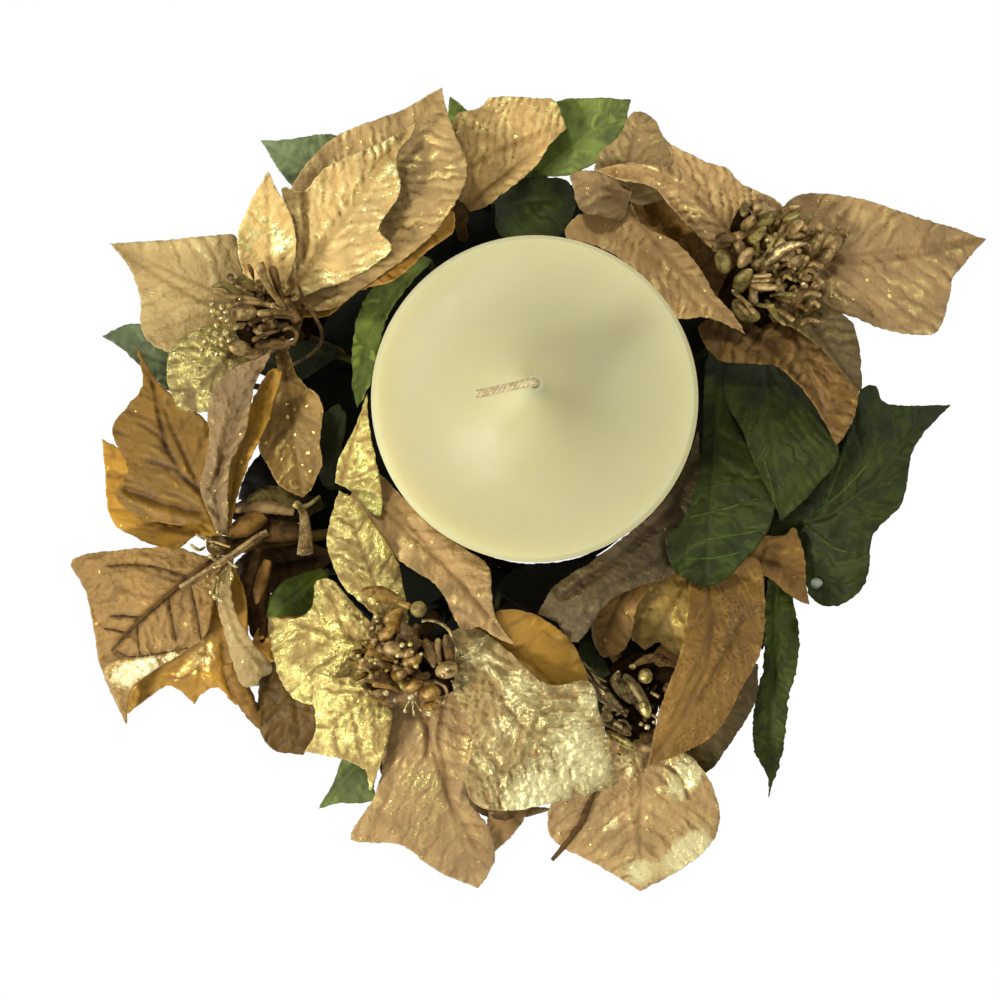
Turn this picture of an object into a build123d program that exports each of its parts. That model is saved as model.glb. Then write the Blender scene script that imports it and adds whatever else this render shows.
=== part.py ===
from build123d import *
import math
import os

# Candle ring: an artificial poinsettia wreath with a pillar candle standing in its middle.
# Millimetres. +Z is up, the origin is the candle's axis on the table top.

# Candle
candle_diameter = 76.0
candle_height = 85.0
candle_peak = 21.0
peak_width = 3.6
rim_round = 1.2
wick_diameter = 1.6
wick_sunk = 30.0
wick_rise = 2.6
wick_fit = 0.1
wick_reach = 13.0
wick_turn = 191.0

# Moulded base ring that carries every stem
candle_room = 3.0
ring_width = 34.0
ring_bore = candle_diameter + 2 * candle_room
ring_diameter = ring_bore + 2 * ring_width
socket_inset = 13.5
ring_height = 12.0
ring_floor = 8.0
ring_lip = 2.2
ring_chamfer = 0.8
pin_depth = 5.0
pin_clearance = 0.1
socket_wall = 1.9
socket_height = 7.0

# Stems, calyxes and stamens
stem_diameter = 3.2
stem_rise = 9.6
wire_diameter = 1.8
wire_rise = 5.2
wire_top = 1.4
calyx_radius = 4.5
small_calyx_radius = 2.6
calyx_above = 3.0
calyx_skirt = 6.0
receptacle_height = 1.6
stamen_wire = 0.5
bud_radius = 1.25
bud_length = 4.6

# Bracts and leaves
sheet_thickness = 0.8
rib_depth = 0.5
sheet_seat = 0.3
stalk_half_width = 1.5
crown_height = 100.0

# The picture that the outlines were read from: a level camera straight above, looking down
rim_width_px = 328.9
rim_centre_px = (534.7, 398.1)
sight_point_px = (534.7, 562.5)
sight_length_px = 1116.0
rim_scale = candle_diameter / rim_width_px
eye_back = (sight_point_px[1] - rim_centre_px[1]) * rim_scale

# Hubs: centre in the picture, lowest and highest bract foot as shares of the crown height,
# the angle of the socket on the ring, and how many stamens stand on it over what radius
hub_shares = {
    "a": dict(at_px=(279, 322), low=0.44, high=0.54, turn=158, stamens=21, spread=15.0, rise=0.13),
    "b": dict(at_px=(458, 214), low=0.40, high=0.40, turn=110, stamens=0, spread=0.0, rise=0.0, small=True),
    "c": dict(at_px=(770, 268), low=0.52, high=0.56, turn=30, stamens=24, spread=15.0, rise=0.13),
    "d": dict(at_px=(228, 546), low=0.46, high=0.54, turn=208, stamens=9, spread=5.0, rise=0.07, small=True),
    "e": dict(at_px=(404, 652), low=0.54, high=0.60, turn=241, stamens=21, spread=15.0, rise=0.12),
    "f": dict(at_px=(640, 704), low=0.36, high=0.38, turn=289, stamens=21, spread=11.0, rise=0.10),
    "h": dict(at_px=(618, 206), low=0.42, high=0.48, turn=72, stamens=0, spread=0.0, rise=0.0, small=True),
    "j": dict(at_px=(704, 556), low=0.40, high=0.48, turn=322, stamens=0, spread=0.0, rise=0.0, small=True),
    "k": dict(at_px=(350, 478), low=0.58, high=0.619, turn=182, stamens=0, spread=0.0, rise=0.0, small=True),
}

# Bracts: hub, tip and the two edges from foot to tip in the picture, with the heights of foot,
# belly and tip, and the cup across, as shares of the crown height. A cap lies on its calyx.
bract_shares = {
    "bract_a1": dict(hub="a", tip_px=(109, 243), level=(0.50, 0.60, 0.52), cup=0.02,
        left_px=[(250, 318), (215, 338), (190, 352), (169, 352), (149, 342), (141, 326), (140, 300), (130, 269)],
        right_px=[(262, 290), (240, 262), (236, 236), (206, 236), (177, 239), (149, 241)]),
    "bract_a2": dict(hub="a", tip_px=(268, 172), level=(0.53, 0.63, 0.73), cup=0.02,
        left_px=[(262, 292), (244, 275), (237, 239), (246, 212), (258, 188)],
        right_px=[(285, 288), (294, 262), (296, 238), (290, 213), (278, 191)]),
    "bract_a3": dict(hub="a", tip_px=(178, 410), level=(0.54, 0.65, 0.60), cup=-0.01,
        left_px=[(262, 352), (240, 372), (222, 388), (208, 411)],
        right_px=[(248, 318), (215, 322), (185, 336), (169, 354), (167, 381)]),
    "bract_a4": dict(hub="a", tip_px=(417, 122), level=(0.51, 0.64, 0.68), cup=0.02,
        rib_px=[(314, 262), (348, 214), (378, 170)],
        left_px=[(283, 278), (293, 255), (297, 234), (281, 189), (305, 191), (325, 168), (366, 149), (400, 133)],
        right_px=[(318, 290), (350, 279), (392, 250), (379, 228), (400, 192), (396, 156), (411, 136)]),
    "bract_a5": dict(hub="a", tip_px=(442, 88), level=(0.48, 0.58, 0.61), cup=0.02,
        left_px=[(300, 270), (286, 220), (294, 182), (322, 147), (350, 129), (400, 111), (428, 95)],
        right_px=[(330, 310), (361, 289), (400, 262), (435, 232), (461, 192), (467, 164), (456, 137), (447, 110)]),
    "bract_a6": dict(hub="a", tip_px=(455, 212), level=(0.44, 0.53, 0.52), cup=0.01,
        left_px=[(310, 290), (350, 255), (400, 225), (430, 208)],
        right_px=[(330, 315), (358, 291), (395, 280), (426, 252), (452, 233)]),
    "bract_a7": dict(hub="a", tip_px=(303, 497), level=(0.49, 0.53, 0.46), cup=0.03,
        left_px=[(298, 377), (318, 395), (323, 412), (320, 441), (322, 463), (311, 489)],
        right_px=[(278, 378), (266, 405), (259, 447), (268, 466), (281, 487)]),
    "bract_b1": dict(hub="b", tip_px=(566, 128), level=(0.40, 0.50, 0.50), cup=0.02,
        left_px=[(450, 190), (448, 160), (455, 117), (480, 108), (493, 97), (537, 98), (555, 101)],
        right_px=[(486, 206), (505, 192), (522, 179), (538, 163), (549, 146)]),
    "bract_c1": dict(hub="c", tip_px=(986, 239), level=(0.54, 0.64, 0.58), cup=0.02,
        left_px=[(783, 240), (785, 205), (811, 193), (862, 199), (911, 215), (957, 229)],
        right_px=[(800, 300), (852, 316), (884, 329), (924, 335), (941, 326), (951, 290), (954, 276)]),
    "bract_c2": dict(hub="c", tip_px=(594, 170), level=(0.56, 0.68, 0.62), cup=0.02,
        rib_px=[(722, 222), (690, 190), (655, 175)],
        left_px=[(750, 262), (716, 252), (693, 230), (672, 209), (653, 187), (620, 180)],
        right_px=[(785, 235), (780, 203), (742, 184), (728, 169), (705, 161), (680, 149), (668, 146), (672, 166), (630, 163)]),
    "bract_c3": dict(hub="c", tip_px=(836, 445), level=(0.52, 0.64, 0.62), cup=-0.03,
        left_px=[(800, 300), (840, 330), (858, 372), (857, 408), (846, 434)],
        right_px=[(750, 290), (710, 318), (698, 330), (719, 360), (760, 364), (778, 367), (806, 393), (824, 421)]),
    "bract_c4": dict(hub="c", tip_px=(860, 391), level=(0.55, 0.68, 0.67), cup=0.02,
        left_px=[(800, 290), (848, 318), (858, 341), (862, 380)],
        right_px=[(765, 300), (771, 317), (798, 331), (826, 353), (847, 379)]),
    "bract_h1": dict(hub="h", tip_px=(641, 111), level=(0.42, 0.49, 0.50), cup=0.02,
        left_px=[(594, 182), (600, 152), (618, 138), (630, 114)],
        right_px=[(640, 205), (690, 190), (700, 166), (668, 142), (655, 120)]),
    "bract_h2": dict(hub="h", cap=True, tip_px=(570, 176), level=(0.522, 0.56, 0.52), cup=0,
        left_px=[(622, 220), (600, 216), (580, 210), (574, 192)],
        right_px=[(626, 190), (604, 174), (583, 170)]),
    "bract_h3": dict(hub="h", tip_px=(745, 334), level=(0.48, 0.62, 0.66), cup=-0.03,
        rib_px=[(670, 262), (712, 304)],
        left_px=[(644, 226), (676, 242), (700, 268), (713, 292), (734, 315)],
        right_px=[(600, 215), (578, 215), (565, 236), (600, 247), (634, 269), (664, 301), (678, 318), (710, 318)]),
    "bract_d1": dict(hub="d", tip_px=(135, 343), toward_px=(205, 490), level=(0.50, 0.50, 0.46), cup=-0.02,
        left_px=[(205, 524), (176, 525), (136, 515), (115, 494), (128, 470), (115, 441), (115, 421), (142, 386)],
        right_px=[(226, 480), (222, 440), (196, 412), (166, 390), (151, 372)]),
    "bract_d2": dict(hub="d", tip_px=(126, 724), level=(0.50, 0.50, 0.30), cup=-0.02,
        rib_px=[(187, 580), (146, 616), (118, 668)],
        left_px=[(215, 585), (208, 630), (190, 648), (146, 676), (130, 692)],
        right_px=[(205, 556), (176, 548), (129, 549), (72, 559), (85, 590), (94, 630), (101, 670)]),
    "bract_d3": dict(hub="d", tip_px=(258, 686), level=(0.48, 0.54, 0.47), cup=-0.02,
        rib_px=[(223, 595), (236, 635), (252, 664)],
        left_px=[(232, 600), (251, 640), (273, 667), (262, 678)],
        right_px=[(214, 590), (222, 625), (234, 667), (243, 686)]),
    "bract_d4": dict(hub="d", tip_px=(194, 704), level=(0.465, 0.40, 0.28), cup=-0.01,
        left_px=[(246, 598), (247, 658), (238, 704), (219, 688), (204, 692)],
        right_px=[(200, 600), (162, 648), (130, 682), (125, 713), (140, 704), (166, 686), (182, 693)]),
    "bract_d5": dict(hub="d", tip_px=(102, 439), level=(0.47, 0.40, 0.36), cup=0.01,
        left_px=[(196, 536), (173, 550), (133, 536), (110, 517), (105, 470)],
        right_px=[(190, 500), (150, 480), (119, 449)]),
    "bract_d6": dict(hub="d", tip_px=(272, 349), level=(0.54, 0.66, 0.74), cup=-0.03,
        rib_px=[(216, 498), (220, 462), (231, 420), (240, 385)],
        left_px=[(212, 520), (200, 490), (205, 465), (209, 436), (208, 402), (228, 372), (258, 358)],
        right_px=[(228, 505), (230, 465), (246, 431), (254, 385), (264, 368)]),
    "bract_d7": dict(hub="d", tip_px=(283, 372), level=(0.52, 0.60, 0.67), cup=-0.02,
        rib_px=[(230, 502), (239, 458), (256, 415)],
        left_px=[(224, 505), (232, 455), (250, 405), (270, 370)],
        right_px=[(236, 500), (250, 460), (266, 427), (274, 400)]),
    "bract_e1": dict(hub="e", tip_px=(268, 616), level=(0.54, 0.58, 0.46), cup=-0.01,
        left_px=[(378, 664), (340, 690), (311, 705), (283, 686), (270, 640)],
        right_px=[(378, 630), (350, 600), (333, 580), (316, 581), (312, 606), (297, 618)]),
    "bract_e2": dict(hub="e", tip_px=(304, 752), level=(0.57, 0.64, 0.50), cup=-0.01,
        left_px=[(396, 690), (388, 735), (371, 790), (365, 770), (340, 759)],
        right_px=[(382, 665), (345, 678), (318, 674), (313, 700), (316, 730)]),
    "bract_e3": dict(hub="e", tip_px=(339, 490), level=(0.58, 0.70, 0.68), cup=-0.02,
        left_px=[(380, 620), (345, 588), (334, 567), (327, 546), (330, 520)],
        right_px=[(408, 620), (403, 586), (395, 556), (372, 522), (355, 500)]),
    "bract_e4": dict(hub="e", tip_px=(478, 888), toward_px=(425, 760), level=(0.54, 0.54, 0.28), cup=-0.02,
        left_px=[(452, 674), (470, 702), (477, 738), (466, 792), (490, 830), (494, 862)],
        right_px=[(395, 700), (385, 760), (372, 800), (351, 839), (400, 845), (437, 871)]),
    "bract_e5": dict(hub="e", tip_px=(619, 783), level=(0.60, 0.68, 0.56), cup=-0.03,
        rib_px=[(484, 672), (520, 726), (568, 762)],
        left_px=[(452, 632), (473, 627), (509, 651), (546, 684), (590, 682), (600, 716), (611, 752)],
        right_px=[(445, 672), (456, 698), (472, 740), (465, 782), (478, 806), (512, 811), (552, 803), (606, 789)]),
    "bract_e6": dict(hub="e", tip_px=(604, 739), level=(0.57, 0.63, 0.54), cup=0.02,
        rib_px=[(480, 642), (530, 664), (572, 704)],
        left_px=[(470, 632), (495, 612), (523, 611), (555, 626), (576, 649), (590, 684), (598, 712)],
        right_px=[(470, 655), (520, 690), (560, 725)]),
    "bract_k1": dict(hub="k", cap=True, tip_px=(367, 394), toward_px=(360, 440), level=(0.66, 0.75, 0.80), cup=0,
        left_px=[(338, 462), (346, 445), (358, 420)],
        right_px=[(356, 497), (370, 512), (382, 514), (380, 482), (370, 430)]),
    "bract_k2": dict(hub="k", tip_px=(514, 644), level=(0.58, 0.70, 0.72), cup=-0.02,
        rib_px=[(390, 517), (440, 562), (478, 604)],
        left_px=[(374, 470), (402, 496), (432, 525), (462, 547), (488, 566), (492, 600), (497, 620)],
        right_px=[(352, 500), (375, 530), (400, 561), (438, 587), (460, 628), (480, 627), (500, 640)]),
    "bract_f1": dict(hub="f", tip_px=(640, 891), level=(0.38, 0.42, 0.26), cup=-0.02,
        left_px=[(665, 745), (690, 755), (712, 785), (720, 818), (709, 847), (675, 873)],
        right_px=[(610, 735), (570, 770), (548, 814), (556, 843), (598, 865)]),
    "bract_f2": dict(hub="f", tip_px=(758, 664), level=(0.36, 0.38, 0.36), cup=0,
        rib_px=[(690, 722), (725, 706), (746, 686)],
        left_px=[(665, 688), (706, 676), (738, 664)],
        right_px=[(668, 750), (704, 778), (740, 736), (756, 700)]),
    "bract_j1": dict(hub="j", tip_px=(648, 766), level=(0.44, 0.62, 0.64), cup=-0.03,
        rib_px=[(712, 612), (708, 664), (684, 716)],
        left_px=[(735, 560), (759, 560), (765, 600), (761, 650), (742, 688), (716, 733), (682, 753)],
        right_px=[(688, 590), (688, 615), (678, 660), (660, 708), (653, 740)]),
    "bract_j2": dict(hub="j", tip_px=(537, 615), level=(0.48, 0.62, 0.62), cup=0.02,
        rib_px=[(676, 550), (640, 570), (590, 598)],
        left_px=[(660, 580), (610, 600), (577, 643), (556, 622)],
        right_px=[(700, 512), (699, 432), (689, 458), (667, 497), (642, 523), (613, 545), (585, 566), (554, 586)]),
    "bract_j3": dict(hub="j", tip_px=(604, 658), level=(0.46, 0.52, 0.46), cup=0.01,
        rib_px=[(660, 566), (622, 596), (606, 630)],
        left_px=[(670, 575), (640, 600), (632, 632), (622, 652)],
        right_px=[(670, 556), (622, 562), (601, 596), (592, 625), (594, 644)]),
    "bract_j4": dict(hub="j", tip_px=(645, 650), level=(0.42, 0.47, 0.42), cup=0.01,
        left_px=[(695, 590), (690, 625), (678, 655), (660, 642)],
        right_px=[(680, 565), (645, 580), (634, 602), (630, 635)]),
    "bract_j5": dict(hub="j", tip_px=(810, 605), level=(0.40, 0.38, 0.34), cup=0,
        rib_px=[(760, 561), (786, 568), (798, 584)],
        left_px=[(735, 543), (762, 536), (784, 536), (794, 527), (804, 554), (806, 585)],
        right_px=[(735, 565), (763, 574), (781, 588), (797, 600)]),
}

# Leaves: the same, but each stands on a wire of its own under the foot
leaf_shares = {
    "leaf_1": dict(foot_px=(722, 340), tip_px=(705, 588), level=(0.28, 0.52, 0.53), cup=0.02,
        left_px=[(760, 370), (776, 420), (778, 480), (770, 527), (748, 556), (726, 579)],
        right_px=[(706, 362), (704, 400), (704, 430), (697, 480), (682, 521), (667, 536), (670, 562), (684, 578)]),
    "leaf_2": dict(foot_px=(762, 340), tip_px=(781, 521), level=(0.34, 0.60, 0.57), cup=-0.01,
        left_px=[(800, 365), (830, 410), (838, 458), (819, 483), (800, 505)],
        right_px=[(728, 364), (726, 400), (742, 430), (755, 463), (770, 493)]),
    "leaf_3": dict(foot_px=(770, 532), tip_px=(951, 405), level=(0.30, 0.42, 0.34), cup=-0.03,
        left_px=[(812, 490), (838, 458), (852, 425), (860, 391), (876, 386), (888, 404)],
        right_px=[(799, 540), (809, 595), (838, 606), (866, 582), (873, 535), (902, 503), (924, 440)],
        rib_px=[(830, 515), (876, 480), (912, 432)]),
    "leaf_4": dict(foot_px=(777, 566), tip_px=(769, 797), level=(0.26, 0.30, 0.16), cup=0.02,
        left_px=[(794, 598), (799, 655), (788, 700), (785, 742), (775, 778)],
        right_px=[(766, 600), (764, 665), (755, 700), (754, 750), (767, 775)]),
    "leaf_5": dict(foot_px=(528, 182), tip_px=(631, 100), level=(0.30, 0.42, 0.46), cup=0.01,
        left_px=[(520, 160), (530, 120), (558, 101), (600, 98)],
        right_px=[(545, 177), (568, 175), (601, 160), (620, 142)]),
    "leaf_6": dict(foot_px=(428, 258), tip_px=(357, 408), level=(0.28, 0.40, 0.44), cup=0.02,
        left_px=[(412, 282), (390, 312), (378, 350), (370, 385)],
        right_px=[(400, 262), (372, 288), (355, 325), (352, 382)],
        rib_px=[(392, 292), (370, 335), (362, 375)]),
    "leaf_7": dict(foot_px=(345, 190), tip_px=(260, 140), level=(0.28, 0.42, 0.44), cup=0.01,
        left_px=[(315, 196), (289, 183), (268, 152)],
        right_px=[(352, 150), (332, 134), (309, 136), (283, 140)]),
    "leaf_8": dict(foot_px=(190, 372), tip_px=(102, 336), level=(0.26, 0.34, 0.28), cup=0.01,
        left_px=[(172, 392), (145, 370), (121, 348)],
        right_px=[(172, 345), (140, 324), (118, 328)]),
    "leaf_9": dict(foot_px=(368, 752), tip_px=(318, 809), level=(0.26, 0.26, 0.18), cup=0.01,
        left_px=[(373, 780), (372, 801), (335, 804)],
        right_px=[(345, 752), (334, 782), (326, 795)]),
    "leaf_10": dict(foot_px=(325, 572), tip_px=(266, 620), level=(0.34, 0.40, 0.36), cup=-0.02,
        left_px=[(322, 590), (307, 614), (284, 616)],
        right_px=[(305, 573), (284, 581), (270, 596)]),
    "leaf_11": dict(foot_px=(495, 205), tip_px=(575, 196), level=(0.24, 0.34, 0.30), cup=0.03,
        left_px=[(505, 180), (540, 177), (566, 180)],
        right_px=[(500, 235), (545, 245), (566, 228), (577, 205)]),
    "leaf_12": dict(foot_px=(328, 486), tip_px=(338, 404), level=(0.36, 0.44, 0.44), cup=0.01,
        left_px=[(318, 470), (315, 440), (322, 415)],
        right_px=[(338, 470), (343, 440), (346, 415)]),
    "leaf_13": dict(foot_px=(500, 590), tip_px=(640, 560), level=(0.22, 0.26, 0.24), cup=0.01,
        left_px=[(520, 566), (560, 562), (605, 555)],
        right_px=[(530, 612), (580, 612), (620, 590)]),
    "leaf_14": dict(foot_px=(286, 640), tip_px=(303, 755), level=(0.28, 0.30, 0.24), cup=0,
        left_px=[(302, 680), (316, 712), (314, 738)],
        right_px=[(262, 668), (258, 718), (270, 748)]),
}
small_leaves = ["leaf_8", "leaf_9", "leaf_10", "leaf_11", "leaf_12", "leaf_13", "leaf_14"]

# Plain oval leaves that fill the wreath from below: foot, tip and half width in the picture
under_shares = {
    "leaf_15": dict(foot_px=(308, 452), tip_px=(238, 500), half_px=25, level=(0.26, 0.34, 0.30)),
    "leaf_16": dict(foot_px=(322, 504), tip_px=(222, 514), half_px=20, level=(0.23, 0.28, 0.25)),
    "leaf_17": dict(foot_px=(330, 556), tip_px=(227, 574), half_px=29, level=(0.20, 0.25, 0.23)),
    "leaf_18": dict(foot_px=(306, 608), tip_px=(246, 668), half_px=20, level=(0.27, 0.33, 0.36), sway=-9),
    "leaf_19": dict(foot_px=(668, 298), tip_px=(756, 222), half_px=35, level=(0.30, 0.42, 0.46)),
    "leaf_20": dict(foot_px=(584, 640), tip_px=(612, 735), half_px=17, level=(0.20, 0.24, 0.26)),
    "leaf_21": dict(foot_px=(528, 764), tip_px=(494, 858), half_px=19, level=(0.24, 0.28, 0.24)),
    "leaf_22": dict(foot_px=(700, 640), tip_px=(640, 694), half_px=22, level=(0.22, 0.26, 0.24)),
    "leaf_23": dict(foot_px=(336, 352), tip_px=(246, 368), half_px=20, level=(0.26, 0.32, 0.30)),
    "leaf_24": dict(foot_px=(690, 250), tip_px=(628, 206), half_px=22, level=(0.28, 0.32, 0.34)),
    "leaf_25": dict(foot_px=(474, 152), tip_px=(450, 97), half_px=13, level=(0.28, 0.34, 0.36)),
}
oval_shares = ((0.15, 0.55), (0.38, 1.0), (0.62, 0.9), (0.84, 0.5))


def oval_sheet(foot_px, tip_px, half_px, level, sway=0):
    """Sheet with an oval outline of the given half width."""
    run = (tip_px[0] - foot_px[0], tip_px[1] - foot_px[1])
    length = math.hypot(*run)
    edges = []
    for side in (-1, 1):
        across = (-run[1] / length * half_px * side, run[0] / length * half_px * side)
        edges.append([(foot_px[0] + run[0] * along + across[0] * wide, foot_px[1] + run[1] * along + across[1] * wide)
                      for along, wide in oval_shares])
    return dict(foot_px=foot_px, tip_px=tip_px, level=level, cup=0.01, sway=sway, left_px=edges[0], right_px=edges[1])


leaf_shares.update({node: oval_sheet(**values) for node, values in under_shares.items()})
small_leaves += under_shares


# Picture to model
def scale_at(z):
    return rim_scale + (candle_height - z) / sight_length_px


def place(px, py, z):
    """The point at height z that the picture shows at px, py."""
    s = scale_at(z)
    return ((px - sight_point_px[0]) * s, (sight_point_px[1] - py) * s - eye_back, z)


def to_px(point):
    s = scale_at(point[2])
    return (sight_point_px[0] + point[0] / s, sight_point_px[1] - (point[1] + eye_back) / s)


def hub_centre(key):
    hub = hub_shares[key]
    return place(*hub["at_px"], hub["low"] * crown_height)


# Bracts and leaves as thin folded sheets
def hub_radius(key):
    return small_calyx_radius if hub_shares[key].get("small") else calyx_radius


def foot_of(sheet):
    """Middle of the foot and the level direction in which the sheet leaves it."""
    z = sheet["level"][0] * crown_height
    if "hub" in sheet:
        start = hub_centre(sheet["hub"])
    else:
        start = place(*sheet["foot_px"], z)
    aim = place(*sheet.get("toward_px", sheet["tip_px"]), z)
    length = math.hypot(aim[0] - start[0], aim[1] - start[1])
    way = ((aim[0] - start[0]) / length, (aim[1] - start[1]) / length)
    out = 0.0
    if "hub" in sheet:
        out = -hub_radius(sheet["hub"]) if sheet.get("cap") else hub_radius(sheet["hub"]) + sheet_seat
    return (start[0] + way[0] * out, start[1] + way[1] * out, z), way


def height_rule(sheet, foot_px):
    """Height of the sheet over any point of the picture."""
    tip_px = sheet["tip_px"]
    run = (tip_px[0] - foot_px[0], tip_px[1] - foot_px[1])
    length = math.hypot(*run)

    def along_across(px, py):
        dx, dy = px - foot_px[0], py - foot_px[1]
        along = (dx * run[0] + dy * run[1]) / length / length
        return min(max(along, 0.0), 1.0), (dy * run[0] - dx * run[1]) / length

    widest = max(abs(along_across(*p)[1]) for p in sheet["left_px"] + sheet["right_px"])
    low, belly, tip = (share * crown_height for share in sheet["level"])
    pull = 2 * belly - (low + tip) / 2

    def height(px, py):
        u, w = along_across(px, py)
        arch = (1 - u) ** 2 * low + 2 * u * (1 - u) * pull + u * u * tip
        side = w / widest
        grown = min(1.0, 4 * u)
        return arch + sheet["cup"] * side * side * crown_height * grown

    return height


def ear_clip(ring, flat):
    """Triangles that fill the simple polygon ring, whose corners lie at flat[i]."""
    def turn(i, j, k):
        a, b, c = flat[i], flat[j], flat[k]
        return (b[0] - a[0]) * (c[1] - a[1]) - (b[1] - a[1]) * (c[0] - a[0])

    around = sum(flat[i][0] * flat[j][1] - flat[j][0] * flat[i][1] for i, j in zip(ring, ring[1:] + ring[:1]))
    ring = list(ring) if around > 0 else list(reversed(ring))
    triangles = []
    while len(ring) > 3:
        best = None
        for n in range(len(ring)):
            i, j, k = ring[n - 1], ring[n], ring[(n + 1) % len(ring)]
            if turn(i, j, k) <= 0:
                continue
            others = [m for m in ring if m not in (i, j, k)]
            if any(turn(i, j, m) >= 0 and turn(j, k, m) >= 0 and turn(k, i, m) >= 0 for m in others):
                continue
            cut = math.dist(flat[i], flat[k])
            if best is None or cut < best[0]:
                best = (cut, n)
        if best is None:
            raise ValueError("outline crosses itself")
        n = best[1]
        triangles.append((ring[n - 1], ring[n], ring[(n + 1) % len(ring)]))
        ring.pop(n)
    triangles.append(tuple(ring))
    return triangles


def sheet_mesh(sheet):
    """Top points of a sheet, which of them lie on its midrib, and its triangles, seen from above."""
    foot, way = foot_of(sheet)
    foot_px = to_px(foot)
    height = height_rule(sheet, foot_px)
    tip_px = sheet["tip_px"]
    steps = 4
    straight = [tuple(a + (b - a) * n / steps for a, b in zip(foot_px, tip_px)) for n in range(1, steps)]
    rib_px = sheet.get("rib_px", straight)
    half = stalk_half_width
    corners = [(foot[0] - way[1] * half, foot[1] + way[0] * half, foot[2]),
               (foot[0] + way[1] * half, foot[1] - way[0] * half, foot[2])]
    points = [foot] + [place(*p, height(*p)) for p in rib_px] + [place(*tip_px, height(*tip_px))]
    rib = list(range(len(points)))
    triangles = []
    outline = []
    for corner, edge_px in zip(corners, (sheet["left_px"], sheet["right_px"])):
        first = len(points)
        points += [corner] + [place(*p, height(*p)) for p in edge_px]
        edge = list(range(first, len(points)))
        flat = [(p[0], p[1]) for p in map(to_px, points)]
        flat = [(x, -y) for x, y in flat]
        triangles += ear_clip(edge + rib[::-1], flat)
        outline.append(edge)
    loop = [rib[0]] + outline[1] + [rib[-1]] + outline[0][::-1]
    return points, rib, triangles, loop


def sheet_solid(sheet):
    top, rib, triangles, loop = sheet_mesh(sheet)
    drop = [sheet_thickness + (rib_depth if i in rib[1:-1] else 0.0) for i in range(len(top))]
    low = [(x, y, z - d) for (x, y, z), d in zip(top, drop)]
    faces = [[top[i], top[j], top[k]] for i, j, k in triangles]
    faces += [[low[i], low[k], low[j]] for i, j, k in triangles]
    for i, j in zip(loop, loop[1:] + loop[:1]):
        faces.append([top[j], top[i], low[i], low[j]])
    return closed_solid(faces)


def closed_solid(faces):
    """Solid bounded by flat faces, each a list of corners."""
    shell = Shell([Face(Wire.make_polygon(corners)) for corners in faces])
    solid = Solid(shell)
    return solid if solid.volume > 0 else Solid(Shell([-face for face in shell.faces()]))


# Rods and stems
def rod(start, end, diameter):
    direction = Vector(*end) - Vector(*start)
    plane = Plane(origin=start, z_dir=direction)
    return Solid.make_cylinder(diameter / 2, direction.length, plane)


def bent_rod(points, diameter):
    """Straight runs with ball joints between them."""
    pieces = [rod(a, b, diameter) for a, b in zip(points, points[1:])]
    pieces += [Pos(*p) * Solid.make_sphere(diameter / 2) for p in points[1:-1]]
    return pieces[0].fuse(*pieces[1:])


def ring_point(turn, radius, z):
    angle = math.radians(turn)
    return (radius * math.cos(angle), radius * math.sin(angle), z)


ring_middle = ring_diameter / 2 - socket_inset
pin_bottom = ring_floor - pin_depth


def calyx_span(key):
    hub = hub_shares[key]
    low = hub["low"] * crown_height - sheet_thickness - calyx_above
    return low, hub["high"] * crown_height + calyx_above


def stem(key):
    """Pin, leaning stem and calyx with its funnel skirt."""
    hub = hub_shares[key]
    x, y, _ = hub_centre(key)
    low, high = calyx_span(key)
    neck = (x, y, low - calyx_skirt)
    pin = ring_point(hub["turn"], ring_middle, pin_bottom)
    bend = (pin[0], pin[1], ring_floor + stem_rise)
    body = bent_rod([pin, bend, neck, (x, y, low)], stem_diameter)
    skirt = Pos(*neck) * Solid.make_cone(stem_diameter / 2, hub_radius(key), calyx_skirt)
    barrel = Pos(x, y, low) * Solid.make_cylinder(hub_radius(key), high - low)
    return body.fuse(skirt, barrel)


# Stamens
def spike(root, aim, radii, lengths):
    """Five-sided spindle from root along aim, one ring of corners for each radius, ending in a point."""
    way = (Vector(*aim) - Vector(*root)).normalized()
    plane = Plane(origin=root, z_dir=way)
    rings = []
    for radius, length in zip(radii, lengths):
        turns = [2 * math.pi * n / 5 for n in range(5)]
        ring = [plane.from_local_coords((radius * math.cos(t), radius * math.sin(t), length)) for t in turns]
        rings.append([tuple(p) for p in ring])
    point = tuple(Vector(*root) + way * lengths[-1])
    faces = [rings[0][::-1]]
    for below, above in zip(rings, rings[1:]):
        faces += [[below[n], below[(n + 1) % 5], above[(n + 1) % 5], above[n]] for n in range(5)]
    faces += [[rings[-1][n], rings[-1][(n + 1) % 5], point] for n in range(5)]
    return closed_solid(faces)


def stamen_cluster(key):
    """Receptacle disc with stamens set in a sunflower spiral, the outer ones leaning out."""
    hub = hub_shares[key]
    x, y, _ = hub_centre(key)
    base = calyx_span(key)[1]
    disc = Pos(x, y, base) * Solid.make_cylinder(calyx_radius, receptacle_height)
    spikes = []
    for n in range(hub["stamens"]):
        share = math.sqrt((n + 0.5) / hub["stamens"])
        turn = n * 180 * (3 - math.sqrt(5))
        inner = share * (calyx_radius - bud_radius)
        outer = share * hub["spread"]
        lean = ring_point(turn, outer, hub["rise"] * crown_height * (1.15 - 0.35 * share))
        foot = ring_point(turn, inner, receptacle_height / 2)
        root = (x + foot[0], y + foot[1], base + foot[2])
        aim = (x + lean[0], y + lean[1], base + receptacle_height + lean[2])
        length = math.dist(root, aim)
        radii = (stamen_wire, stamen_wire, bud_radius, bud_radius * 0.8)
        lengths = (0, length - bud_length, length - bud_length / 2, length - bud_length / 5, length)
        spikes.append(spike(root, aim, radii, lengths))
    return disc.fuse(*spikes)


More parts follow.
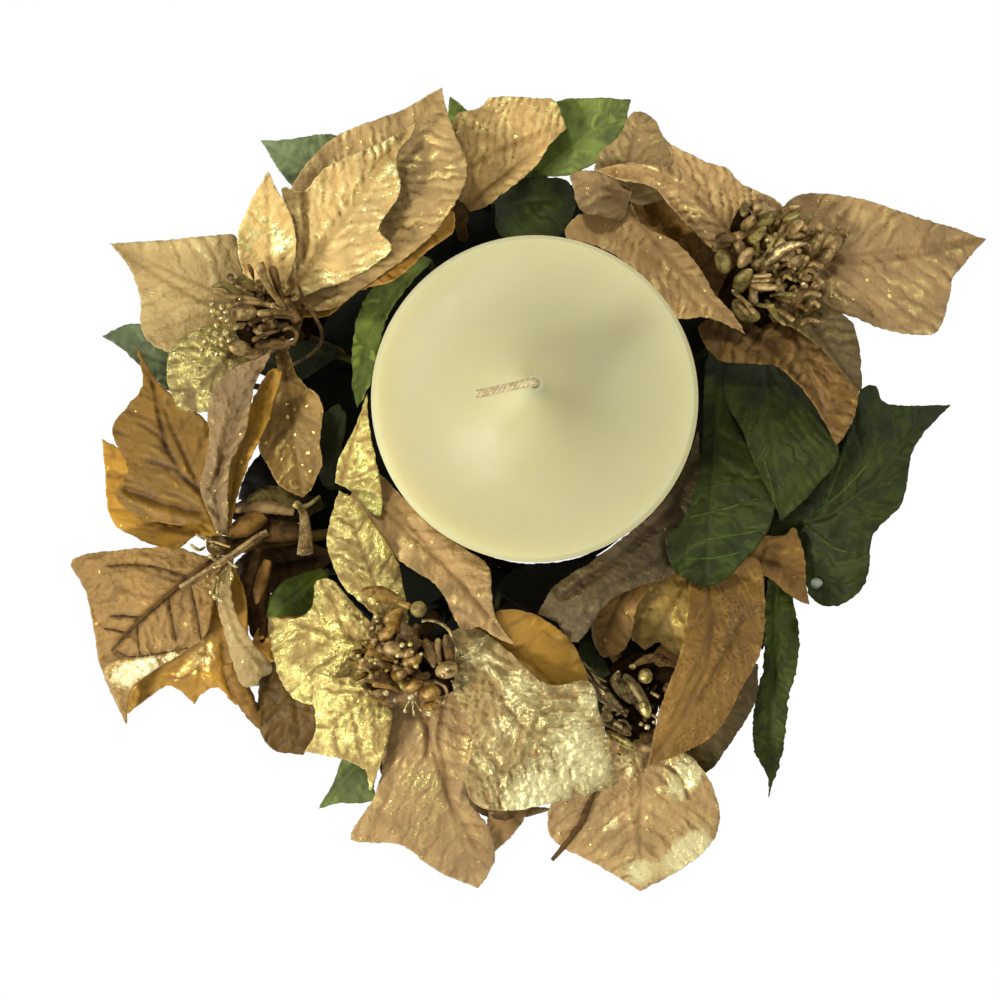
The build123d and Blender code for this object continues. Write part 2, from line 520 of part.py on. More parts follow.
# Wires under the leaves
def leaf_wire(sheet):
    foot, way = foot_of(sheet)
    end = (foot[0], foot[1], foot[2] - sheet_thickness - sheet_seat)
    turn = math.degrees(math.atan2(foot[1], foot[0]))
    inner = ring_middle - socket_inset + ring_lip + wire_diameter
    outer = ring_diameter / 2 - ring_lip - wire_diameter
    radius = outer if math.hypot(foot[0], foot[1]) > ring_middle else inner
    pin = ring_point(turn + sheet.get("sway", 0), radius, pin_bottom)
    bend = (pin[0], pin[1], ring_floor + wire_rise)
    below = (end[0], end[1], end[2] - wire_top)
    return bent_rod([pin, bend, below, end], wire_diameter), pin


# Base ring
def base_ring():
    inner, outer = ring_bore / 2, ring_diameter / 2
    c = ring_chamfer
    section = Polyline((inner, c), (inner + c, 0), (outer - c, 0), (outer, c), (outer, ring_height - c),
        (outer - c, ring_height), (outer - ring_lip, ring_height), (outer - ring_lip, ring_floor),
        (inner + ring_lip, ring_floor), (inner + ring_lip, ring_height), (inner + c, ring_height),
        (inner, ring_height - c), close=True)
    body = revolve(Plane.XZ * make_face(section), Axis.Z)
    bore = stem_diameter / 2 + pin_clearance
    for hub in hub_shares.values():
        body += Pos(*ring_point(hub["turn"], ring_middle, 0)) * extrude(
            Circle(bore + socket_wall), ring_floor + socket_height)
    for hub in hub_shares.values():
        body -= Pos(*ring_point(hub["turn"], ring_middle, pin_bottom)) * extrude(
            Circle(bore), ring_height + socket_height)
    for sheet in leaf_shares.values():
        pin = leaf_wire(sheet)[1]
        body -= Pos(*pin) * extrude(Circle(wire_diameter / 2 + pin_clearance), ring_height)
    return body


# Candle
def candle_wax():
    r, top = candle_diameter / 2, candle_height + candle_peak
    rim = r - rim_round
    mid = (rim * 0.42, candle_height + candle_peak * 0.22)
    outline = [Line((0, 0), (r - rim_round, 0)), Line((r - rim_round, 0), (r, rim_round)),
        Line((r, rim_round), (r, candle_height - rim_round)),
        Line((r, candle_height - rim_round), (rim, candle_height)),
        ThreePointArc((rim, candle_height), mid, (peak_width / 2, top)),
        Line((peak_width / 2, top), (0, top)), Line((0, top), (0, 0))]
    body = revolve(Plane.XZ * make_face(outline), Axis.Z)
    bore = wick_diameter / 2 + wick_fit
    return body - Pos(0, 0, top - wick_sunk) * extrude(Circle(bore), wick_sunk + rim_round)


def wick():
    """Braided wick, bent over after burning."""
    top = candle_height + candle_peak
    tip = ring_point(wick_turn, wick_reach, top + wick_rise)
    return bent_rod([(0, 0, top - wick_sunk), (0, 0, top + wick_rise), tip], wick_diameter)


def write(node, shape):
    export_step(shape, f"parts/{node}.step")


def main():
    os.makedirs("parts", exist_ok=True)
    write("base_ring", base_ring())
    write("candle_wax", candle_wax())
    write("wick", wick())
    write("wire_stems", Compound(children=[stem(key) for key in hub_shares if not hub_shares[key]["stamens"]]))
    for key, hub in hub_shares.items():
        if hub["stamens"]:
            write(f"stem_{key}", stem(key))
            write(f"stamens_{key}", stamen_cluster(key))
    write("leaf_stems", Compound(children=[leaf_wire(sheet)[0] for sheet in leaf_shares.values()]))
    for node, sheet in bract_shares.items():
        write(node, sheet_solid(sheet))
    for node, sheet in leaf_shares.items():
        if node not in small_leaves:
            write(node, sheet_solid(sheet))
    write("small_leaves", Compound(children=[sheet_solid(leaf_shares[node]) for node in small_leaves]))


main()
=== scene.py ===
# %% [markdown]
# # Candle ring of gold artificial flowers
#
# The object is a poinsettia wreath on a moulded ring, round a cream pillar candle.
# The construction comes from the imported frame, and every bract and leaf is modelled again here as
# a thin crinkled sheet that lies where its plain solid lies.
# First come the tools, the frame and a short helper that the whole lesson uses.

import math

import bpy
import numpy as np
from mathutils.bvhtree import BVHTree
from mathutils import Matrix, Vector, noise
from mathutils.geometry import delaunay_2d_cdt


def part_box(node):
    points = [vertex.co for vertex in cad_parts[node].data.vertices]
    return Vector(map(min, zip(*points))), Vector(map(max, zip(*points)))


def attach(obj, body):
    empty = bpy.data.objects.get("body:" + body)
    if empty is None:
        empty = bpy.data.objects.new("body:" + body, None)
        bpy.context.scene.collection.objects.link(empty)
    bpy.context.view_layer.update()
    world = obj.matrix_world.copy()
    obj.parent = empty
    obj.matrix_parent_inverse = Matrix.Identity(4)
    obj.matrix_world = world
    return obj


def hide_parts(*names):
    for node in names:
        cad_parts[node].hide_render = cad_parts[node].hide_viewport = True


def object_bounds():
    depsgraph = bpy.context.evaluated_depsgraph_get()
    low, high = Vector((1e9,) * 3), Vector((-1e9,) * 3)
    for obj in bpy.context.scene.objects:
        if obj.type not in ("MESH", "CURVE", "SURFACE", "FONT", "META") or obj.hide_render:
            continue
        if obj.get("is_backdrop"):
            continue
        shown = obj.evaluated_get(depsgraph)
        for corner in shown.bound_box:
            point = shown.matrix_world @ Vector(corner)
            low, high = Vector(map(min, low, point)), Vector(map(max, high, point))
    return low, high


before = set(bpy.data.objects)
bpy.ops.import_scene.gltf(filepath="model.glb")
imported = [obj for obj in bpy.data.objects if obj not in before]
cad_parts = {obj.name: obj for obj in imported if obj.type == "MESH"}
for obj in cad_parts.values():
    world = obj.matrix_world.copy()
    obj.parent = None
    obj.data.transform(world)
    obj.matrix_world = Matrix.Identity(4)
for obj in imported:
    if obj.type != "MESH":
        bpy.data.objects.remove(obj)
cad_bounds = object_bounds()
MM = 0.001


def add_object(name, data):
    """A new object in the scene, at the origin."""
    thing = bpy.data.objects.new(name, data)
    bpy.context.scene.collection.objects.link(thing)
    return thing


print("nodes in the frame:", len(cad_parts))

# %% [markdown]
# ## The picture's camera
#
# The picture was taken from straight above with a level camera. A round candle seen that way is
# a circle, and its peak and its rim shift against each other by the camera's height, so one
# diameter and three pixel positions fix the whole view.
# `place` turns a pixel and a height into a point, and every outline below goes through it.

# %% The picture's camera
candle_diameter = 76.0
candle_height = 85.0
rim_width_px = 328.9
rim_centre_px = (534.7, 398.1)
sight_point_px = (534.7, 562.5)
sight_length_px = 1116.0
picture_px = 1000.0
sensor_width = 36.0
nearest_seen = 0.01
rim_scale = candle_diameter / rim_width_px
eye_back = (sight_point_px[1] - rim_centre_px[1]) * rim_scale
eye_height = candle_height + rim_scale * sight_length_px


def scale_at(z):
    """Millimetres that one pixel covers at height z."""
    return rim_scale + (candle_height - z) / sight_length_px


def place(px, py, z):
    """Point in millimetres at height z that the picture shows at px, py."""
    s = scale_at(z)
    return ((px - sight_point_px[0]) * s, (sight_point_px[1] - py) * s - eye_back, z)


def to_px(point):
    """Pixel at which the picture shows a point in millimetres."""
    s = scale_at(point[2])
    return (sight_point_px[0] + point[0] / s, sight_point_px[1] - (point[1] + eye_back) / s)


def add_camera():
    data = bpy.data.cameras.new("camera")
    data.sensor_width = sensor_width
    data.lens = data.sensor_width * sight_length_px / picture_px
    data.shift_x = 0.5 - sight_point_px[0] / picture_px
    data.shift_y = sight_point_px[1] / picture_px - 0.5
    data.clip_start = nearest_seen
    eye = add_object("camera", data)
    eye.location = (0, -eye_back * MM, eye_height * MM)
    bpy.context.scene.camera = eye


add_camera()
print("camera at", round(eye_height), "mm, one pixel at the rim is", round(rim_scale, 3), "mm")

# %% [markdown]
# ## Light
#
# The picture has soft light from the lower left, with a weaker fill from the other side. A key
# panel gives the long highlights on the foil, and a small one the sparkle. A panel that is small
# for its distance makes the foil glitter, and a large one would make it look like paint.

# %% Light
panels = {
    "key": dict(centre=(-0.8, -0.58, 0.78), size=0.26, power=11.5, colour=(1.0, 0.97, 0.91)),
    "spark": dict(centre=(-0.25, 0.35, 1.0), size=0.12, power=3.2, colour=(1.0, 0.98, 0.93)),
    "fill": dict(centre=(0.9, 0.3, 0.8), size=0.8, power=3.2, colour=(1.0, 0.99, 0.95)),
}
aim_point = Vector((0, 0, 0.05))
sky_colour = (1.0, 0.98, 0.93, 1)
sky_strength = 0.36


def add_panel(name, centre, size, power, colour):
    """A round area light that faces the middle of the wreath; sizes in metres, power in watts."""
    data = bpy.data.lights.new(name, "AREA")
    data.shape = "DISK"
    data.size = size
    data.energy = power
    data.color = colour
    panel = add_object(name, data)
    panel.location = centre
    panel.rotation_euler = (aim_point - Vector(centre)).to_track_quat("-Z", "Y").to_euler()


def add_sky():
    world = bpy.data.worlds.new("soft sky")
    bpy.context.scene.world = world
    world.use_nodes = True
    sky = world.node_tree.nodes["Background"]
    sky.inputs["Color"].default_value = sky_colour
    sky.inputs["Strength"].default_value = sky_strength


for name, values in panels.items():
    add_panel(name, **values)
add_sky()
bpy.context.scene.view_settings.view_transform = "Standard"
print("panels:", ", ".join(panels))

# %% [markdown]
# ## Ground
#
# The ground under the wreath is pure white in the picture. Lit paper would come out grey at its
# far corners, so the camera sees it as a plain white glow, while the light that it throws back on
# the bracts is still that of matt paper.

# %% Ground
ground_half = 3.0
paper_white = (0.9, 0.9, 0.9, 1)


def add_ground():
    mesh = bpy.data.meshes.new("ground")
    corners = [(x * ground_half, y * ground_half, 0) for x, y in ((-1, -1), (1, -1), (1, 1), (-1, 1))]
    mesh.from_pydata(corners, [], [(0, 1, 2, 3)])
    ground = add_object("ground", mesh)
    paper = bpy.data.materials.new("paper")
    paper.use_nodes = True
    nodes = paper.node_tree.nodes
    links = paper.node_tree.links
    nodes["Principled BSDF"].inputs["Base Color"].default_value = paper_white
    nodes["Principled BSDF"].inputs["Roughness"].default_value = 0.9
    glow = nodes.new("ShaderNodeEmission")
    glow.inputs["Strength"].default_value = 1.0
    seen = nodes.new("ShaderNodeLightPath")
    blend = nodes.new("ShaderNodeMixShader")
    links.new(seen.outputs["Is Camera Ray"], blend.inputs["Fac"])
    links.new(nodes["Principled BSDF"].outputs["BSDF"], blend.inputs[1])
    links.new(glow.outputs["Emission"], blend.inputs[2])
    links.new(blend.outputs["Shader"], nodes["Material Output"].inputs["Surface"])
    mesh.materials.append(paper)
    ground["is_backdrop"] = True


add_ground()
print("ground:", 2 * ground_half, "m wide")

# %% [markdown]
# ## The hubs
#
# A hub is where the bracts of one flower meet: the pixel of its middle, its height as a share of
# the crown's, and how far in millimetres its stamens spread. A small one has a thinner calyx.

# %% The hubs
crown_height = 100.0
hubs = {
    "a": dict(at_px=(279, 322), low=0.44, spread=15.0),
    "b": dict(at_px=(458, 214), low=0.40, small=True),
    "c": dict(at_px=(770, 268), low=0.52, spread=15.0),
    "d": dict(at_px=(228, 546), low=0.46, spread=5.0, small=True),
    "e": dict(at_px=(404, 652), low=0.54, spread=15.0),
    "f": dict(at_px=(640, 704), low=0.36, spread=11.0),
    "h": dict(at_px=(618, 206), low=0.42, small=True),
    "j": dict(at_px=(704, 556), low=0.40, small=True),
    "k": dict(at_px=(350, 478), low=0.58, small=True),
}
print("hubs:", len(hubs))

# %% [markdown]
# ## Outlines of the bracts
#
# Each bract has its hub, its tip and the two edges from hub to tip, in the picture's pixels, and
# sometimes a bent midrib. `level` gives the heights of foot, belly and tip as shares of the
# crown's height, and `cup` how far the edges rise or hang.
# The plain solids have the same outlines, but for three sheets with an edge moved a few pixels.

# %% Outlines of the bracts
bract_sheets = {
    "bract_a1": dict(hub="a", tip_px=(109, 243), level=(0.50, 0.60, 0.52), cup=0.02,
        left_px=[(250, 318), (215, 338), (190, 352), (169, 352), (149, 342), (141, 326), (140, 300),
            (130, 269)],
        right_px=[(262, 290), (240, 262), (236, 236), (206, 236), (177, 239), (149, 241)]),
    "bract_a2": dict(hub="a", tip_px=(268, 172), level=(0.53, 0.63, 0.73), cup=0.02,
        left_px=[(262, 292), (244, 275), (237, 239), (246, 212), (258, 188)],
        right_px=[(285, 288), (294, 262), (296, 238), (290, 213), (278, 191)]),
    "bract_a3": dict(hub="a", tip_px=(178, 410), level=(0.54, 0.65, 0.60), cup=-0.01,
        left_px=[(262, 352), (240, 372), (222, 388), (208, 411)],
        right_px=[(248, 318), (215, 322), (185, 336), (169, 354), (167, 381)]),
    "bract_a4": dict(hub="a", tip_px=(417, 122), level=(0.51, 0.64, 0.68), cup=0.02,
        rib_px=[(314, 262), (348, 214), (378, 170)],
        left_px=[(283, 278), (293, 255), (297, 234), (281, 189), (305, 191), (325, 168), (366, 149),
            (400, 133)],
        right_px=[(318, 290), (350, 279), (392, 250), (379, 228), (400, 192), (396, 156), (411, 136)]),
    "bract_a5": dict(hub="a", tip_px=(442, 88), level=(0.48, 0.58, 0.61), cup=0.02,
        left_px=[(300, 270), (286, 220), (294, 182), (322, 147), (350, 129), (400, 111), (428, 95)],
        right_px=[(330, 310), (361, 289), (400, 262), (435, 232), (461, 192), (467, 164), (456, 137),
            (447, 110)]),
    "bract_a6": dict(hub="a", tip_px=(455, 212), level=(0.44, 0.53, 0.52), cup=0.01,
        left_px=[(310, 290), (350, 255), (400, 225), (430, 208)],
        right_px=[(330, 315), (358, 291), (395, 280), (426, 252), (452, 233)]),
    "bract_a7": dict(hub="a", tip_px=(303, 497), level=(0.49, 0.53, 0.46), cup=0.03,
        left_px=[(298, 377), (318, 395), (323, 412), (320, 441), (322, 463), (311, 489)],
        right_px=[(278, 378), (266, 405), (259, 447), (268, 466), (281, 487)]),
    "bract_b1": dict(hub="b", tip_px=(566, 128), level=(0.40, 0.50, 0.50), cup=0.02,
        left_px=[(450, 190), (448, 160), (455, 117), (480, 108), (493, 97), (537, 98), (555, 101)],
        right_px=[(486, 206), (505, 192), (522, 179), (538, 163), (549, 146)]),
    "bract_c1": dict(hub="c", tip_px=(986, 239), level=(0.54, 0.64, 0.58), cup=0.02,
        left_px=[(783, 240), (785, 205), (811, 193), (862, 199), (911, 215), (957, 229)],
        right_px=[(800, 300), (852, 316), (884, 329), (924, 335), (941, 326), (951, 290), (954, 276)]),
    "bract_c2": dict(hub="c", tip_px=(594, 170), level=(0.56, 0.68, 0.62), cup=0.02,
        rib_px=[(722, 222), (690, 190), (655, 175)],
        left_px=[(750, 262), (716, 252), (693, 230), (672, 209), (653, 187), (620, 180)],
        right_px=[(785, 235), (780, 203), (742, 184), (728, 169), (705, 161), (680, 149), (668, 146),
            (672, 166),
            (630, 163)]),
    "bract_c3": dict(hub="c", tip_px=(836, 445), level=(0.52, 0.64, 0.62), cup=-0.03,
        left_px=[(800, 300), (840, 330), (858, 372), (857, 408), (846, 434)],
        right_px=[(750, 290), (710, 318), (698, 330), (719, 360), (760, 364), (778, 367), (806, 393),
            (824, 421)]),
    "bract_c4": dict(hub="c", tip_px=(860, 391), level=(0.55, 0.68, 0.67), cup=0.02,
        left_px=[(800, 290), (848, 318), (858, 341), (862, 380)],
        right_px=[(765, 300), (771, 317), (798, 331), (826, 353), (847, 379)]),
    "bract_h1": dict(hub="h", tip_px=(641, 111), level=(0.42, 0.49, 0.50), cup=0.02,
        left_px=[(594, 182), (600, 152), (618, 138), (630, 114)],
        right_px=[(640, 205), (690, 190), (700, 166), (668, 142), (655, 120)]),
    "bract_h2": dict(hub="h", cap=True, tip_px=(570, 176), level=(0.522, 0.56, 0.52), cup=0,
        left_px=[(622, 220), (600, 216), (580, 210), (574, 192)],
        right_px=[(626, 190), (604, 174), (583, 170)]),
    "bract_h3": dict(hub="h", tip_px=(745, 334), level=(0.48, 0.62, 0.66), cup=-0.03,
        rib_px=[(670, 262), (712, 304)],
        left_px=[(644, 226), (676, 242), (700, 268), (713, 292), (734, 315)],
        right_px=[(600, 215), (578, 215), (565, 236), (600, 247), (634, 269), (664, 301), (678, 318),
            (710, 318)]),
    "bract_d1": dict(hub="d", tip_px=(135, 343), toward_px=(205, 490), level=(0.50, 0.50, 0.46), cup=-0.02,
        left_px=[(205, 524), (176, 525), (136, 515), (115, 494), (128, 470), (115, 441), (115, 421),
            (142, 386)],
        right_px=[(226, 480), (222, 440), (196, 412), (166, 390), (151, 372)]),
    "bract_d2": dict(hub="d", tip_px=(126, 724), level=(0.50, 0.50, 0.30), cup=-0.02,
        rib_px=[(187, 580), (146, 616), (118, 668)],
        left_px=[(215, 585), (208, 630), (190, 648), (146, 676), (130, 692)],
        right_px=[(205, 556), (176, 548), (129, 549), (72, 559), (85, 590), (94, 630), (101, 670)]),
    "bract_d3": dict(hub="d", tip_px=(258, 686), level=(0.48, 0.54, 0.47), cup=-0.02,
        rib_px=[(223, 595), (236, 635), (252, 664)],
        left_px=[(232, 600), (251, 640), (273, 667), (262, 678)],
        right_px=[(214, 590), (222, 625), (234, 667), (243, 686)]),
    "bract_d4": dict(hub="d", tip_px=(194, 704), level=(0.465, 0.40, 0.28), cup=-0.01,
        left_px=[(246, 598), (247, 658), (238, 704), (219, 688), (204, 692)],
        right_px=[(200, 600), (162, 648), (130, 682), (125, 713), (140, 704), (166, 686), (182, 693)]),
    "bract_d5": dict(hub="d", tip_px=(102, 439), level=(0.47, 0.40, 0.36), cup=0.01,
        left_px=[(196, 536), (173, 550), (133, 536), (110, 517), (105, 470)],
        right_px=[(190, 500), (150, 480), (119, 449)]),
    "bract_d6": dict(hub="d", tip_px=(272, 349), level=(0.54, 0.66, 0.74), cup=-0.03,
        rib_px=[(216, 498), (220, 462), (231, 420), (240, 385)],
        left_px=[(212, 520), (200, 490), (205, 465), (209, 436), (208, 402), (228, 372), (258, 358)],
        right_px=[(228, 505), (230, 465), (246, 431), (254, 385), (264, 368)]),
    "bract_d7": dict(hub="d", tip_px=(283, 372), level=(0.52, 0.60, 0.67), cup=-0.02,
        rib_px=[(230, 502), (239, 458), (256, 415)],
        left_px=[(224, 505), (232, 455), (250, 405), (270, 370)],
        right_px=[(236, 500), (250, 460), (266, 427), (274, 400)]),
    "bract_e1": dict(hub="e", tip_px=(268, 616), level=(0.54, 0.58, 0.46), cup=-0.01,
        left_px=[(378, 664), (340, 690), (311, 705), (283, 686), (270, 640)],
        right_px=[(378, 630), (350, 600), (333, 580), (316, 581), (312, 606), (297, 618)]),
    "bract_e2": dict(hub="e", tip_px=(304, 752), level=(0.57, 0.64, 0.50), cup=-0.01,
        left_px=[(396, 690), (388, 735), (371, 790), (365, 770), (340, 759)],
        right_px=[(382, 665), (345, 678), (318, 674), (313, 700), (316, 730)]),
    "bract_e3": dict(hub="e", tip_px=(339, 490), level=(0.58, 0.70, 0.68), cup=-0.02,
        left_px=[(380, 620), (345, 588), (334, 567), (327, 546), (330, 520)],
        right_px=[(408, 620), (403, 586), (395, 556), (372, 522), (355, 500)]),
    "bract_e4": dict(hub="e", tip_px=(478, 888), toward_px=(425, 760), level=(0.54, 0.54, 0.28), cup=-0.02,
        left_px=[(452, 674), (470, 702), (477, 738), (466, 792), (490, 830), (494, 862)],
        right_px=[(395, 700), (385, 760), (372, 800), (351, 839), (400, 845), (437, 871)]),
    "bract_e5": dict(hub="e", tip_px=(619, 783), level=(0.60, 0.68, 0.56), cup=-0.03,
        rib_px=[(484, 672), (520, 726), (568, 762)],
        left_px=[(452, 632), (473, 627), (509, 651), (546, 684), (590, 682), (600, 716), (611, 752)],
        right_px=[(445, 672), (456, 698), (472, 740), (465, 782), (478, 806), (512, 811), (552, 803),
            (606, 789)]),
    "bract_e6": dict(hub="e", tip_px=(604, 739), level=(0.57, 0.63, 0.54), cup=0.02,
        rib_px=[(480, 642), (530, 664), (572, 704)],
        left_px=[(470, 632), (495, 612), (523, 611), (555, 626), (576, 649), (590, 684), (598, 712)],
        right_px=[(470, 655), (520, 690), (560, 725)]),
    "bract_k1": dict(hub="k", cap=True, tip_px=(367, 394), toward_px=(360, 440), level=(0.66, 0.75, 0.80),
        cup=0,
        left_px=[(338, 462), (346, 445), (358, 420)],
        right_px=[(356, 497), (370, 512), (382, 514), (380, 482), (370, 430)]),
    "bract_k2": dict(hub="k", tip_px=(514, 644), level=(0.58, 0.70, 0.72), cup=-0.02,
        rib_px=[(390, 517), (440, 562), (478, 604)],
        left_px=[(374, 470), (402, 496), (432, 525), (462, 547), (488, 566), (492, 600), (497, 620)],
        right_px=[(352, 500), (375, 530), (400, 561), (438, 587), (460, 628), (480, 627), (500, 640)]),
    "bract_f1": dict(hub="f", tip_px=(640, 891), level=(0.38, 0.42, 0.26), cup=-0.02,
        left_px=[(665, 745), (690, 755), (712, 785), (720, 818), (709, 847), (675, 873)],
        right_px=[(610, 735), (570, 770), (548, 814), (556, 843), (598, 865)]),
    "bract_f2": dict(hub="f", tip_px=(758, 664), level=(0.36, 0.38, 0.36), cup=0,
        rib_px=[(690, 722), (725, 706), (746, 686)],
        left_px=[(665, 688), (706, 676), (738, 664)],
        right_px=[(668, 750), (703, 775), (738, 732), (756, 700)]),
    "bract_j1": dict(hub="j", tip_px=(648, 766), level=(0.44, 0.62, 0.64), cup=-0.03,
        rib_px=[(712, 612), (708, 664), (684, 716)],
        left_px=[(735, 560), (759, 560), (765, 600), (761, 650), (742, 688), (716, 733), (682, 753)],
        right_px=[(688, 590), (688, 615), (678, 660), (660, 708), (653, 740)]),
    "bract_j2": dict(hub="j", tip_px=(537, 615), level=(0.48, 0.62, 0.62), cup=0.02,
        rib_px=[(676, 550), (640, 570), (590, 598)],
        left_px=[(660, 580), (610, 600), (577, 643), (556, 622)],
        right_px=[(700, 512), (699, 432), (689, 458), (667, 497), (642, 523), (613, 545), (585, 566),
            (554, 586)]),
    "bract_j3": dict(hub="j", tip_px=(604, 658), level=(0.46, 0.52, 0.46), cup=0.01,
        rib_px=[(660, 566), (622, 596), (606, 630)],
        left_px=[(670, 575), (640, 600), (632, 632), (622, 652)],
        right_px=[(670, 556), (622, 562), (601, 596), (592, 625), (594, 644)]),
    "bract_j4": dict(hub="j", tip_px=(645, 650), level=(0.42, 0.47, 0.42), cup=0.01,
        left_px=[(695, 590), (690, 625), (678, 655), (660, 642)],
        right_px=[(680, 565), (645, 580), (634, 602), (630, 635)]),
    "bract_j5": dict(hub="j", tip_px=(810, 605), level=(0.40, 0.38, 0.34), cup=0,
        rib_px=[(760, 561), (786, 568), (798, 584)],
        left_px=[(735, 543), (762, 536), (784, 536), (794, 527), (804, 554), (806, 585)],
        right_px=[(735, 565), (763, 574), (781, 588), (797, 600)]),
}
print("bracts:", len(bract_sheets))

# %% [markdown]
# ## Outlines of the leaves
#
# The leaves stand on wires of their own, so each has a foot in place of a hub. Under leaves fill
# the wreath from below: they are plain ovals, made from a foot, a tip and a half width.

# %% Outlines of the leaves
leaf_sheets = {
    "leaf_1": dict(foot_px=(722, 340), tip_px=(705, 588), level=(0.28, 0.52, 0.53), cup=0.02,
        left_px=[(760, 370), (776, 420), (778, 480), (770, 527), (748, 556), (726, 579)],
        right_px=[(706, 362), (704, 400), (704, 430), (697, 480), (682, 521), (667, 536), (670, 562),
            (684, 578)]),
    "leaf_2": dict(foot_px=(762, 340), tip_px=(781, 521), level=(0.34, 0.60, 0.57), cup=-0.01,
        left_px=[(800, 365), (830, 410), (838, 458), (819, 483), (800, 505)],
        right_px=[(728, 364), (726, 400), (742, 430), (755, 463), (770, 493)]),
    "leaf_3": dict(foot_px=(770, 532), tip_px=(951, 405), level=(0.30, 0.42, 0.34), cup=-0.03,
        left_px=[(812, 490), (838, 458), (852, 425), (860, 391), (876, 386), (888, 404)],
        right_px=[(799, 540), (809, 595), (838, 606), (866, 582), (873, 535), (902, 503), (915, 446)],
        rib_px=[(830, 515), (876, 480), (912, 432)]),
    "leaf_4": dict(foot_px=(777, 566), tip_px=(769, 797), level=(0.26, 0.30, 0.16), cup=0.02,
        left_px=[(794, 598), (799, 655), (788, 700), (785, 742), (775, 778)],
        right_px=[(766, 600), (764, 665), (755, 700), (754, 750), (767, 775)]),
    "leaf_5": dict(foot_px=(528, 182), tip_px=(631, 100), level=(0.30, 0.42, 0.46), cup=0.01,
        left_px=[(520, 160), (530, 120), (558, 101), (600, 98)],
        right_px=[(545, 177), (568, 175), (601, 160), (620, 142)]),
    "leaf_6": dict(foot_px=(428, 258), tip_px=(357, 408), level=(0.28, 0.40, 0.44), cup=0.02,
        left_px=[(412, 282), (390, 312), (378, 350), (370, 385)],
        right_px=[(400, 262), (372, 288), (355, 325), (352, 382)],
        rib_px=[(392, 292), (370, 335), (362, 375)]),
    "leaf_7": dict(foot_px=(345, 190), tip_px=(260, 140), level=(0.28, 0.42, 0.44), cup=0.01,
        left_px=[(315, 196), (289, 183), (268, 152)],
        right_px=[(352, 150), (332, 134), (309, 136), (283, 140)]),
    "leaf_8": dict(foot_px=(190, 372), tip_px=(102, 336), level=(0.26, 0.34, 0.28), cup=0.01,
        left_px=[(172, 392), (145, 370), (121, 348)],
        right_px=[(172, 345), (140, 324), (118, 328)]),
    "leaf_9": dict(foot_px=(368, 752), tip_px=(318, 809), level=(0.26, 0.26, 0.18), cup=0.01,
        left_px=[(373, 780), (372, 801), (335, 804)],
        right_px=[(345, 752), (334, 782), (326, 795)]),
    "leaf_10": dict(foot_px=(325, 572), tip_px=(266, 620), level=(0.34, 0.40, 0.36), cup=-0.02,
        left_px=[(322, 590), (307, 614), (284, 616)],
        right_px=[(305, 573), (284, 581), (270, 596)]),
    "leaf_11": dict(foot_px=(495, 205), tip_px=(575, 196), level=(0.24, 0.34, 0.30), cup=0.03,
        left_px=[(505, 180), (540, 177), (566, 180)],
        right_px=[(500, 235), (545, 245), (566, 228), (577, 205)]),
    "leaf_12": dict(foot_px=(328, 486), tip_px=(338, 404), level=(0.36, 0.44, 0.44), cup=0.01,
        left_px=[(318, 470), (315, 440), (322, 415)],
        right_px=[(338, 470), (343, 440), (346, 415)]),
    "leaf_13": dict(foot_px=(500, 590), tip_px=(640, 560), level=(0.22, 0.26, 0.24), cup=0.01,
        left_px=[(520, 566), (560, 562), (605, 555)],
        right_px=[(530, 612), (580, 612), (620, 590)]),
    "leaf_14": dict(foot_px=(286, 640), tip_px=(303, 755), level=(0.28, 0.30, 0.24), cup=0,
        left_px=[(302, 680), (316, 712), (314, 738)],
        right_px=[(262, 668), (258, 718), (270, 748)]),
}
small_leaves = ["leaf_8", "leaf_9", "leaf_10", "leaf_11", "leaf_12", "leaf_13", "leaf_14"]

# %% Under leaves
under_sheets = {
    "leaf_15": dict(foot_px=(308, 452), tip_px=(238, 500), half_px=25, level=(0.26, 0.34, 0.30)),
    "leaf_16": dict(foot_px=(322, 504), tip_px=(222, 514), half_px=20, level=(0.23, 0.28, 0.25)),
    "leaf_17": dict(foot_px=(330, 556), tip_px=(227, 574), half_px=29, level=(0.20, 0.25, 0.23)),
    "leaf_18": dict(foot_px=(306, 608), tip_px=(246, 668), half_px=20, level=(0.27, 0.33, 0.36)),
    "leaf_19": dict(foot_px=(668, 298), tip_px=(756, 222), half_px=35, level=(0.30, 0.42, 0.46)),
    "leaf_20": dict(foot_px=(584, 640), tip_px=(612, 735), half_px=17, level=(0.20, 0.24, 0.26)),
    "leaf_21": dict(foot_px=(524, 764), tip_px=(492, 853), half_px=19, level=(0.24, 0.28, 0.24)),
    "leaf_22": dict(foot_px=(700, 640), tip_px=(640, 694), half_px=22, level=(0.22, 0.26, 0.24)),
    "leaf_23": dict(foot_px=(336, 352), tip_px=(246, 368), half_px=20, level=(0.26, 0.32, 0.30)),
    "leaf_24": dict(foot_px=(690, 250), tip_px=(628, 206), half_px=22, level=(0.28, 0.32, 0.34)),
    "leaf_25": dict(foot_px=(474, 152), tip_px=(450, 97), half_px=13, level=(0.28, 0.34, 0.36)),
}
# Along the oval: how far from foot to tip, and how wide there
oval_steps = ((0.15, 0.55), (0.38, 1.0), (0.62, 0.9), (0.84, 0.5))
oval_cup = 0.01


